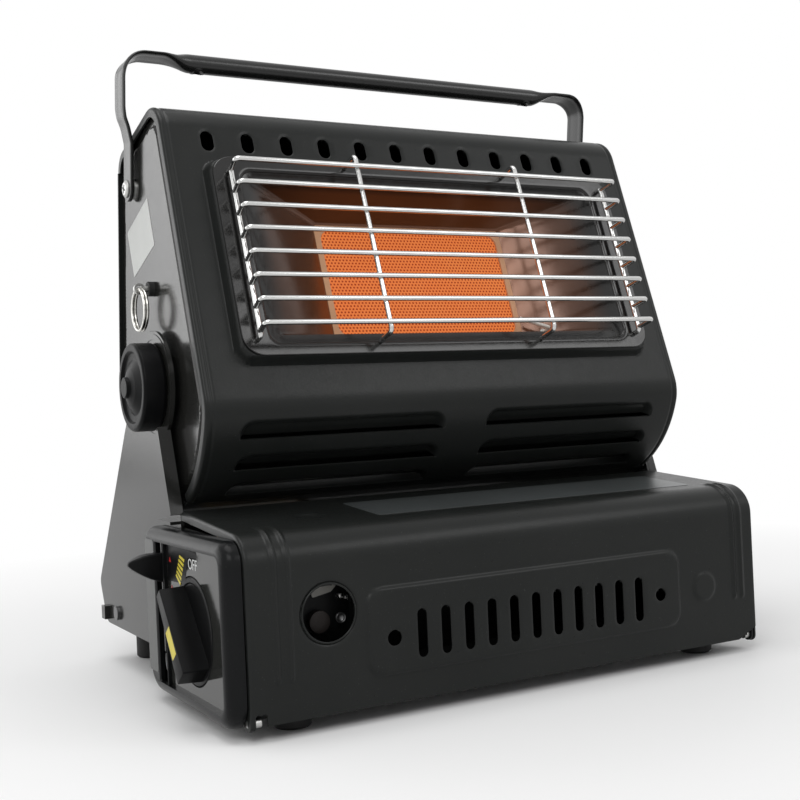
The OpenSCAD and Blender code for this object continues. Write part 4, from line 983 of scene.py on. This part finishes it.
def makeHandle():
    fx, sx, top = handle["footX"], handle["sideX"], handle["reach"]
    path = filletPath([(-fx, 0, -6.0), (-fx, 0, 22.0), (-sx, 0, 34.0), (-sx, 0, top), (sx, 0, top), (sx, 0, 34.0),
                       (fx, 0, 22.0), (fx, 0, -6.0)], [4, 5, handle["corner"], handle["corner"], 5, 4], 14)
    path = evenPath(path, 0.75)
    length = np.concatenate([[0], np.cumsum(np.linalg.norm(np.diff(path, axis=0), axis=1))])
    away = np.minimum(length, length[-1] - length)[:, None]
    turn = (2 * math.pi * np.arange(56) / 56)[None]
    c, s = np.cos(turn), np.sin(turn)
    # three cross sections with the same points: flat strap, flattened tube with thick rims, round tube
    strap = 6.0 * np.sign(c) * np.abs(c) ** 0.35, 1.0 * np.sign(s) * np.abs(s) ** 0.35
    rims = 7.6 * c, s * (0.9 + 0.6 * smooth((np.abs(c) - 0.42) / 0.42))
    tube = handle["tube"] * c, handle["tube"] * s
    toRims = smooth((away - 34.0) / 12.0)
    toTube = smooth((away - 83.0) / 15.0)
    across = strap[0] * (1 - toRims) + rims[0] * toRims
    thick = strap[1] * (1 - toRims) + rims[1] * toRims
    across = across * (1 - toTube) + tube[0] * toTube
    thick = thick * (1 - toTube) + tube[1] * toTube
    # the strap's end is round
    across = across * np.sqrt(np.clip(1 - np.clip((6.0 - away) / 6.05, 0, 1) ** 2, 0.0025, 1))
    # a drain hole with a raised rim on the underside, close to where the tube is round again
    arc = handle["tube"] * (np.mod(turn - handle["holeTurn"] + math.pi, 2 * math.pi) - math.pi)
    spot = np.hypot(away - handle["hole"], arc)
    dent = 0.35 * np.exp(-((spot - 3.0) / 0.5) ** 2) - 1.6 * (1 - smooth((spot - 1.9) / 0.7))
    across, thick = across + c * dent, thick + s * dent
    along = unit(np.gradient(path, axis=0))
    inPlane = np.cross(along, [0.0, 1.0, 0.0])
    outward = np.where(inPlane[:, 2:] * 0 + (np.sum(inPlane * (path - [0, 0, 20.0]), -1, keepdims=True)) < 0, -1.0, 1.0) * inPlane
    flat = toRims * (1 - toTube)
    thick = thick + flat * (handle["flush"] - handle["tilt"] * across * smooth((away - 60.0) / 12.0))
    loops = path[:, None] + across[..., None] * np.array([0.0, 1.0, 0.0]) + thick[..., None] * outward[:, None]
    holeX = np.interp(handle["hole"], length[:len(length) // 2], path[:len(length) // 2, 0])
    around = 2 * math.pi * np.arange(24) / 24
    # a near-black disc sits in each hole below its rim: painted shade standing in for the dark inside of the hole
    holeShadeDiscs = []
    for sign in (-1, 1):
        rings = []
        for spread, depth in ((2.5, 2.4), (2.5, 1.3), (0.05, 1.3)):
            angle = handle["holeTurn"] + spread * np.sin(around) / handle["tube"]
            radius = handle["tube"] - depth
            rings.append(np.column_stack([-sign * holeX + spread * np.cos(around), radius * np.cos(angle), top + radius * np.sin(angle)]))
        holeShadeDiscs.append(placeHandle(np.array(rings)))
    fit(joinSkins("drain_hole_shade", holeShadeDiscs), "handle", "steel_black", finishes["dial_plastic"])
    piece = loft("handle_tube", placeHandle(loops), crease=40.0)
    return fit(piece, "handle", "steel_black", finishes["handle_black"], "carry_handle")


makeHandle()


def makeHandleScrews():
    # pan-headed screws through the straps, with a dark cross in each head: painted shade standing in for the cross
    # recess
    shank = filletPath([(0.0, 126.6), (2.0, 126.6), (2.0, 133.9), (4.2, 133.9), (4.2, 134.7), (3.0, 135.5), (0.0, 135.65)],
                       [0.2, 0.1, 0.1, 0.3, 0.6], 4)
    for sign, sideName in ((-1, "left"), (1, "right")):
        def toPoint(p, sign=sign):
            return placeHandle(np.stack([sign * p[..., 2], p[..., 0], p[..., 1]], -1))
        screw = lathe("handle_screw_" + sideName, shank, toPoint, 48)
        fit(screw, "handle", "screw_dark", finishes["zinc_steel"], *(["handle_screws"] if sign < 0 else []))
        # the cross is near-black bars lying on the head: painted shade of the recess, not a cut
        bars = []
        for turn in (0.35, 0.35 + math.pi / 2):
            bar = loopRound(-2.1, -0.42, 2.1, 0.42, 0.2, 2)
            c, s = math.cos(turn), math.sin(turn)
            across = np.column_stack([bar[:, 0] * c - bar[:, 1] * s, bar[:, 0] * s + bar[:, 1] * c])
            bars.append(placeHandle(np.array([np.column_stack([np.full(len(bar), sign * q), across]) for q in (135.3, 135.68)])))
        fit(joinSkins("screw_recess_shade_" + sideName, bars), "handle", "screw_dark", finishes["dial_plastic"])


makeHandleScrews()
print("handle done")

# the control side: moulded rim with broad round edges, a plate with the two openings
bezel = {"outline": (2.0, 4.5, 106.0, 79.5), "radii": (12.0, 14.0, 6.0, 10.0), "back": 135.5, "front": 143.0, "round": 5.4,
         "face": (8.0, 8.0, 78.0, 75.5), "slot": (79.2, 10.5, 88.8, 76.5), "strip": (90.6, 14.0, 103.0, 74.0)}


def placeLeft(points):
    # (reach outward, y, z) on the heater's left side
    p = np.asarray(points, float)
    return place(np.stack([-p[..., 0], p[..., 1], p[..., 2]], -1))


def bezelLoop(inset, reach):
    y0, z0, y1, z1 = bezel["outline"]
    radii = np.maximum(np.array(bezel["radii"]) - inset, 0.6)
    ring = loopRound(y0 + inset, z0 + inset, y1 - inset, z1 - inset, radii, 10)
    return np.column_stack([np.full(len(ring), reach), ring])


def makeBezel():
    r = bezel["round"]
    turn = np.radians(np.linspace(0, 90, 10))
    loops = [bezelLoop(0.0, bezel["back"])]
    loops += [bezelLoop(r * (1 - math.cos(a)), bezel["front"] - r * (1 - math.sin(a))) for a in turn]
    loops += [bezelLoop(r + 0.5, bezel["front"]), bezelLoop(r + 0.5, bezel["front"] - 2.0), bezelLoop(2.4, bezel["front"] - 4.5),
              bezelLoop(2.0, bezel["back"])]
    rim = loft("bezel_rim", placeLeft(np.array(loops)), ring=True, crease=50.0)
    fit(rim, "root", "bezel_plastic", finishes["bezel_plastic"], "control_bezel")

    y0, z0, y1, z1 = bezel["outline"]
    edge = r + 0.3
    yLines = spacedLines(y0 + edge - 0.1, y1 - edge + 0.1, 3.0, [(y0, y0 + 12, 0.6), (76.0, 91.0, 0.5), (95, 101, 0.7)])
    zLines = spacedLines(z0 + edge - 0.1, z1 - edge + 0.1, 3.0, [(z0, z0 + 14, 0.6), (70.0, 79.0, 0.5)])
    y, z = np.meshgrid(yLines, zLines)
    radii = np.maximum(np.array(bezel["radii"]) - edge, 0.6)
    outside = -boxField(y, z, y0 + edge, z0 + edge, y1 - edge, z1 - edge, radii)
    openings = np.minimum(boxField(y, z, *bezel["face"], (8.0, 1.2, 1.2, 8.0)), boxField(y, z, *bezel["slot"], 1.2))
    field = np.minimum(outside, openings)
    reach = bezel["front"] - 0.5 * smooth((0.9 - openings) / 0.9)
    points, sets = cutSheet(np.stack([reach, y, z], -1), field)
    piece = makePiece("bezel_plate", placeLeft(points), [f[:, ::-1] for f in sets], closed=False)
    if piece.data.polygons[0].normal.x > 0:
        piece.data.flip_normals()
    thicken(piece, 2.2)
    fit(piece, "root", "bezel_plastic", finishes["bezel_plastic"])


makeBezel()


def flatMark(name, outlines, reach, thick, body, slotName, material):
    # thin plates (reach, y, z) on the left side, one for each closed outline
    stacks = []
    for outline in outlines:
        ring = np.asarray(outline, float)
        stacks.append(np.array([np.column_stack([np.full(len(ring), reach + t), ring]) for t in (0.0, thick)]))
    piece = joinSkins(name, [placeLeft(s) for s in stacks])
    return fit(piece, body, slotName, material)


marks = {"yellow": (0.60, 0.50, 0.018), "red": (0.42, 0.02, 0.02), "white": (0.62, 0.63, 0.62), "face": 141.0}
inks = {key: grainMaterial("ink_" + key, tuple(0.9 * c for c in marks[key]), marks[key], (0.34, 0.42), 1200.0, 0.00001)
        for key in ("yellow", "red", "white")}


def makeMarks():
    patch = filletPath([(77.2, 60.0), (77.2, 74.3), (39.0, 74.0), (37.6, 70.2), (49.5, 69.6), (54.0, 58.0), (77.2, 57.0), (77.2, 60.0)],
                       [0.6, 2.6, 1.8, 1.5, 1.5, 0.6], 5)[:-1]
    flatMark("black_patch", [patch], marks["face"] + 0.01, 0.06, "root", "face_plastic", finishes["dial_plastic"])
    # hatched wedge: yellow bars between two slanting lines
    bars = []
    for k in range(6):
        low, high = k / 6.0, (k + 0.62) / 6.0
        left = [np.array([66.0, 60.2]) * (1 - t) + np.array([59.5, 70.5]) * t for t in (low, high)]
        right = [np.array([60.5, 56.6]) * (1 - t) + np.array([53.0, 69.2]) * t for t in (low, high)]
        bars.append([left[0], right[0], right[1], left[1]])
    flatMark("hatched_wedge", bars, marks["face"] + 0.07, 0.05, "root", "face_plastic", inks["yellow"])
    turn = np.radians(np.arange(0, 360, 120) + 90)
    flatMark("red_point", [np.column_stack([73.3 + 1.6 * np.cos(turn), 66.4 + 1.6 * np.sin(turn)]),
                           np.column_stack([72.0 + 1.1 * np.cos(turn), 54.6 + 1.1 * np.sin(turn)])],
             marks["face"] + 0.07, 0.05, "root", "face_plastic", inks["red"])
    y0, z0, y1, z1 = bezel["strip"]
    flatMark("side_strip", [loopRound(y0, z0, y1, z1, 2.0)], bezel["front"] + 0.01, 0.1, "root", "face_plastic",
             grainMaterial("strip_grey", (0.05, 0.052, 0.05), (0.075, 0.077, 0.074), (0.4, 0.48), 1300.0, 0.00002))


makeMarks()


def makeWord():
    # the word OFF beside the dial, read from the heater's left
    curve = bpy.data.curves.new("off_mark", "FONT")
    curve.body = "OFF"
    curve.size = 0.0062
    curve.extrude = 0.00003
    curve.align_x = "CENTER"
    curve.align_y = "CENTER"
    curve.resolution_u = 3
    holder = bpy.data.objects.new("off_curve", curve)
    bpy.context.scene.collection.objects.link(holder)
    bpy.context.view_layer.update()
    mesh = bpy.data.meshes.new_from_object(holder.evaluated_get(bpy.context.evaluated_depsgraph_get()))
    bpy.data.objects.remove(holder)
    co = np.zeros(len(mesh.vertices) * 3)
    mesh.vertices.foreach_get("co", co)
    co = co.reshape(-1, 3) * 1000.0
    points = np.stack([marks["face"] + 0.04 + co[:, 2], 43.6 - co[:, 0] * 1.05, 66.9 + co[:, 1] * 1.05], -1)
    mesh.vertices.foreach_set("co", placeLeft(points).astype(np.float32).ravel())
    mesh.update()
    piece = bpy.data.objects.new("off_mark", mesh)
    bpy.context.scene.collection.objects.link(piece)
    shape = bmesh.new()
    shape.from_mesh(mesh)
    bmesh.ops.remove_doubles(shape, verts=shape.verts, dist=1e-7)
    bmesh.ops.recalc_face_normals(shape, faces=shape.faces)
    shape.to_mesh(mesh)
    shape.free()
    return fit(piece, "root", "face_plastic", inks["white"])


makeWord()

# the ignition dial: round skirt and a slanting grip bar
dial = {"centre": (45.6, 38.9), "radius": 22.8, "slant": -38.0, "grip": (7.8, 41.0), "taper": 0.3}


def placeDial(points):
    # dial axes (reach, across, up) turned by the slant about its centre
    p = np.asarray(points, float)
    a = math.radians(dial["slant"])
    y, z = p[..., 1], p[..., 2]
    cy, cz = dial["centre"]
    return placeLeft(np.stack([p[..., 0], cy + y * math.cos(a) - z * math.sin(a), cz + y * math.sin(a) + z * math.cos(a)], -1))


def makeDial():
    r = dial["radius"]
    profile = [(0, 138.4), (r - 0.3, 138.4), (r, 138.7), (r, 140.9), (r - 0.25, 141.2), (r - 0.9, 141.35), (r - 2.2, 141.3),
               (r - 2.8, 140.9), (r - 5, 140.8), (0, 140.8)]
    skirt = lathe("dial_skirt", profile, lambda p: placeDial(np.stack([p[..., 2], p[..., 0], p[..., 1]], -1)))
    fit(skirt, "dial", "dial_plastic", finishes["dial_plastic"])
    w, h = dial["grip"]
    # each section: reach, growth and corner radius
    steps = [(140.6, 0.5, 0.8), (141.4, 0.35, 0.7), (146.0, 0.2, 0.7), (151.5, 0.0, 0.7), (151.85, -0.15, 0.6), (152.0, -0.4, 0.5)]
    loops = []
    for reach, grow, r in steps:
        ring = loopRound(-w / 2 - grow, -h / 2 - grow, w / 2 + grow, h / 2 + grow, r)
        ring[:, 0] *= 1.0 - dial["taper"] * ring[:, 1] / (h / 2)
        loops.append(np.column_stack([np.full(len(ring), reach), ring]))
    grip = loft("dial_grip", placeDial(np.array(loops)), crease=45.0)
    fit(grip, "dial", "dial_plastic", finishes["dial_plastic"], "dial_knob")
    end = loopRound(-2.9, -10.5, 2.9, 2.5, 0.3)
    patch = loft("dial_yellow", placeDial(np.array([np.column_stack([np.full(len(end), q), end]) for q in (151.98, 152.06)])))
    fit(patch, "dial", "dial_plastic", inks["yellow"])


makeDial()

# the cartridge lever: a tapering grip that leaves the slot, on a flat slide plate
lever = {"middle": (84.0, 61.0), "reach": 157.0, "root": 137.4}


def makeLever():
    cy, cz = lever["middle"]
    # each section: reach, half width in y, lowest and highest z, corner radius
    sections = [(135.9, 4.0, -8.0, 8.0, 0.8), (137.3, 4.0, -8.0, 8.0, 0.8), (137.5, 3.95, -5.6, 7.3, 0.8), (141.0, 4.0, -5.3, 7.5, 0.9),
                (144.0, 3.95, -4.6, 7.7, 0.9), (147.5, 3.8, -3.3, 7.7, 0.9), (150.5, 3.5, -1.7, 7.3, 0.9), (153.5, 3.0, 0.2, 6.4, 0.9),
                (155.6, 2.3, 1.7, 5.5, 0.8), (156.6, 1.6, 2.7, 4.9, 0.6), (157.0, 0.9, 3.3, 4.4, 0.4)]
    loops = [np.column_stack([np.full(36, q), loopRound(cy - half, cz + low, cy + half, cz + high, r)])
             for q, half, low, high, r in sections]
    stacks = [placeLeft(np.array(loops))]
    tab = [np.column_stack([np.full(36, q), loopRound(69.6, cz - 4, 73.4, cz + 4, 0.4)]) for q in (118.5, 136.2)]
    bridge = [np.column_stack([np.full(36, q), loopRound(69.6, cz - 8, 82.0, cz + 8, 0.8)]) for q in (135.9, 137.3)]
    piece = joinSkins("lever_grip", stacks + [placeLeft(np.array(tab)), placeLeft(np.array(bridge))], crease=42.0)
    return fit(piece, "lever", "dial_plastic", finishes["dial_plastic"], "cartridge_lever")


makeLever()
print("controls done")

# what shows through the lid's round window: a flange of the bracket, grey at its top and near-black below as painted
# shade, the regulator's cap and two bright screws
windowParts = {"plate": (-106.0, 38.0, -84.0, 58.5), "front": 13.2, "cap": (-99.2, 42.4, 4.6), "ring": (-89.4, 43.0, 2.3),
               "screws": [(-88.4, 52.0, 1.35), (-85.9, 51.0, 1.1)]}


def makeWindowParts():
    front = windowParts["front"]

    def sheetPiece(outline, y0, y1):
        return place(np.array([np.column_stack([outline[:, 0], np.full(len(outline), y), outline[:, 1]]) for y in (y0, y1)]))

    def barrel(cx, cz, r, y0, y1):
        turn = 2 * math.pi * np.arange(32) / 32
        rings = [(y0, 0.35 * r), (y0 + 0.15, 0.8 * r), (y0 + 0.5, r), (y1, r)]
        return place(np.array([np.column_stack([cx + q * np.cos(turn), np.full(32, y), cz + q * np.sin(turn)]) for y, q in rings]))
    # the flange's lower part is a near-black plate: painted shade below the flange's grey top
    plate = loft("bracket_flange_shade", sheetPiece(loopRound(*windowParts["plate"], 1.5, 4), front, front + 1.2))
    fit(plate, "root", "steel_black", finishes["dial_plastic"])
    outline = filletPath([(-105.5, 58.0), (-105.5, 55.6), (-101.9, 55.6), (-101.2, 52.3), (-92.6, 54.0), (-89.4, 57.0), (-89.4, 58.0)],
                         [0.3, 0.5, 0.6, 0.8, 1.0, 0.3], 3)
    fit(loft("bracket_tag", sheetPiece(outline, front - 1.2, front)), "root", "piezo_white", finishes["cast_grey"])
    cx, cz, r = windowParts["cap"]
    fit(joinSkins("regulator_cap", [barrel(cx, cz, r, front - 4.0, front)]), "root", "regulator_metal", finishes["cap_brown"])
    cx, cz, r = windowParts["ring"]
    rim = np.array([(r, front), (r, front - 3.0), (r - 0.2, front - 3.2), (r - 0.6, front - 3.0), (r - 0.6, front - 0.6), (0.0, front - 0.6)])
    eyelet = lathe("regulator_eyelet", rim, lambda q: place(np.stack([cx + q[..., 0], q[..., 2], cz + q[..., 1]], -1)), 40)
    fit(eyelet, "root", "zinc_steel", finishes["screw_dark"])
    screws = [barrel(sx, sz, sr, front - 2.4, front) for sx, sz, sr in windowParts["screws"]]
    fit(joinSkins("regulator_screws", screws), "root", "zinc_steel", finishes["zinc_steel"])


makeWindowParts()


def makeWindowRim():
    # the turned edge of the round window: a thin ring around the hole
    wx, wz, wr = lid["window"]
    turn = 2 * math.pi * np.arange(96) / 96
    rings = []
    for a in 2 * math.pi * np.arange(10) / 10:
        radius = wr - 0.05 + 0.42 * math.cos(a)
        rings.append(np.column_stack([wx + radius * np.cos(turn), np.full(96, 0.22 + 0.42 * math.sin(a)), wz + radius * np.sin(turn)]))
    rim = loft("window_rim", place(np.array(rings)), ring=True)
    fit(rim, "lid", "steel_black", finishes["steel_black"])


makeWindowRim()

# the tilt knobs: straight wall, flat rim, shallow dish with a domed middle and a cap
knob = {"radius": 20.5, "seat": 135.4}


def makeKnobs():
    r = knob["radius"]
    wall = filletPath([(3.0, 0.0), (r - 0.6, 0.0), (r, 1.2), (r, 10.6), (r - 3.6, 10.6), (r - 4.6, 9.2), (13.0, 9.0), (8.6, 11.2),
                       (5.0, 12.4), (4.8, 14.0), (2.0, 14.0)], [0.5, 0.6, 1.5, 0.5, 0.6, 1.5, 4.0, 0.4, 0.5], 5)
    profile = np.concatenate([[[0.0, 0.0]], wall, [[0.0, 14.0]]])
    for sign, side in ((-1, "left"), (1, "right")):
        def toPoint(p, sign=sign):
            return place(np.stack([sign * (knob["seat"] + p[..., 2]), heater["tiltY"] + p[..., 0], heater["tiltZ"] + p[..., 1]], -1))
        piece = lathe("knob_" + side, profile, toPoint, 120, 24.0)
        fit(piece, "tilt_knob_l" if sign < 0 else "tilt_knob_r", "knob_plastic", finishes["knob_plastic"], "tilt_knob_" + side)


makeKnobs()
print("knobs done")

# a bare silver plate on the head's left side
sidePlate = {"u": (-18.4, 17.7), "w": (64.4, 89.0), "x": -130.62}


def makeSidePlate():
    (u0, u1), (w0, w1) = sidePlate["u"], sidePlate["w"]
    ring = loopRound(u0, w0, u1, w1, 1.0)
    loops = np.array([np.column_stack([np.full(len(ring), sidePlate["x"] - t), ring]) for t in (0.0, 0.1)])
    piece = loft("side_plate", placeHead(loops))
    finish = grainMaterial("plate_silver", (0.42, 0.43, 0.415), (0.5, 0.51, 0.495), (0.38, 0.46), 1200.0, 0.00001, specular=0.2)
    return fit(piece, "head", "steel_black", finish)


makeSidePlate()

# finishes of the CAD nodes that keep their own shape
nodeFinish = {
    "steel_black": ["rear_cover", "rear_guard"],
    "side_black": ["stand_plate_left", "stand_plate_right"],
    "tray_steel": ["base_tray", "bay_wall", "rear_deck", "cradle_rails", "regulator_bracket"],
    "rubber": ["front_feet", "rear_feet", "ring_grommet", "tilt_washers"],
    "screw_dark": ["deck_screws", "head_screws"],
    "face_plastic": ["control_face"],
    "zinc_steel": ["dial_spindle", "cartridge_fork", "guide_rods", "lid_pins", "handle_washers", "tilt_nuts", "tilt_bolt_left",
                   "tilt_bolt_right", "venturi_tube", "burner_box", "ring_pin"],
    "ring_steel": ["split_ring"],
    "regulator_metal": ["regulator_body"],
    "piezo_white": ["piezo_igniter"],
    "magnet": ["lid_catch"],
    "brass": ["gas_tube", "swivel_union", "burner_tube", "injector"],
    "plaque_ceramic": ["ceramic_plaque"],
    "electrode_ceramic": ["electrode"],
}
borderFinish = grainMaterial("plaque_border", (0.52, 0.27, 0.14), (0.68, 0.38, 0.22), (0.6, 0.75), 700.0, 0.00005)
for key, names in nodeFinish.items():
    for nodeName in names:
        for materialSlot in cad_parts[nodeName].material_slots:
            materialSlot.material = finishes[key]
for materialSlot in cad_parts["plaque_frame"].material_slots:
    materialSlot.material = borderFinish
print("node finishes set")

# floor, world and lamps
studio = {"floor": (0.88, 0.88, 0.88), "world": 0.45, "top": 8.0, "left": 9.0, "front": 6.0, "fill": 4.5}


def makeFloor():
    points = np.array([[-4, -4, 0], [4, -4, 0], [4, 4, 0], [-4, 4, 0]], float)
    piece = makePiece("floor", points - [0, 0, 0.0002], [np.array([[0, 1, 2, 3]])], closed=False)
    # near the heater the floor takes its shadow; away from it the camera sees plain white
    material, tree, shader, vector = newMaterial("floor_white", specular=0.2)
    shader.inputs["Base Color"].default_value = (*studio["floor"], 1.0)
    shader.inputs["Roughness"].default_value = 0.6
    length = tree.nodes.new("ShaderNodeVectorMath")
    length.operation = "LENGTH"
    link(tree, vector, length.inputs[0])
    away = rangeNode(tree, length.outputs["Value"], 0.2, 0.62)
    rays = tree.nodes.new("ShaderNodeLightPath")
    factor = mathNode(tree, "MULTIPLY", away, rays.outputs["Is Camera Ray"])
    white, mix = tree.nodes.new("ShaderNodeEmission"), tree.nodes.new("ShaderNodeMixShader")
    link(tree, factor, mix.inputs[0])
    link(tree, shader.outputs[0], mix.inputs[1])
    link(tree, white.outputs[0], mix.inputs[2])
    link(tree, mix.outputs[0], tree.nodes["Material Output"].inputs["Surface"])
    piece.data.materials.append(material)


def makeWorld():
    # a plain pale world that is white where it is seen, also in gloss and glass
    world = bpy.data.worlds.new("studio")
    bpy.context.scene.world = world
    world.use_nodes = True
    tree = world.node_tree
    tree.nodes.clear()
    rays = tree.nodes.new("ShaderNodeLightPath")
    seen = mathNode(tree, "MAXIMUM", rays.outputs["Is Camera Ray"], mathNode(tree, "MAXIMUM", rays.outputs["Is Glossy Ray"], rays.outputs["Is Transmission Ray"]))
    soft, white = tree.nodes.new("ShaderNodeBackground"), tree.nodes.new("ShaderNodeBackground")
    soft.inputs["Color"].default_value = (1, 1, 1, 1)
    soft.inputs["Strength"].default_value = studio["world"]
    white.inputs["Color"].default_value = (1, 1, 1, 1)
    white.inputs["Strength"].default_value = 1.0
    mix, out = tree.nodes.new("ShaderNodeMixShader"), tree.nodes.new("ShaderNodeOutputWorld")
    link(tree, seen, mix.inputs[0])
    link(tree, soft.outputs[0], mix.inputs[1])
    link(tree, white.outputs[0], mix.inputs[2])
    link(tree, mix.outputs[0], out.inputs["Surface"])


def areaLamp(name, power, size, position, target):
    data = bpy.data.lights.new(name, "AREA")
    data.energy = power
    data.shape = "RECTANGLE"
    data.size, data.size_y = size
    lamp = bpy.data.objects.new(name, data)
    bpy.context.scene.collection.objects.link(lamp)
    ahead = unit(np.asarray(target, float) - position)
    right = unit(np.cross(ahead, [0, 0, 1.0]))
    up = np.cross(right, ahead)
    matrix = np.eye(4)
    matrix[:3, 0], matrix[:3, 1], matrix[:3, 2], matrix[:3, 3] = right, up, -ahead, position
    lamp.matrix_world = mathutils.Matrix(matrix.tolist())


makeFloor()
makeWorld()
areaLamp("top", studio["top"], (1.0, 0.8), (-0.25, -0.1, 1.5), (0.0, 0.0, 0.12))
areaLamp("left", studio["left"], (1.8, 1.0), (-1.2, 1.0, 0.5), (0.0, 0.0, 0.15))
areaLamp("front", studio["front"], (1.0, 0.6), (0.95, -1.35, 1.2), (0.0, 0.0, 0.2))
areaLamp("fill", studio["fill"], (0.7, 0.5), (-0.7, -0.9, 0.95), (0.0, 0.0, 0.2))

bpy.context.scene.view_settings.view_transform = "Standard"
print("scene done")
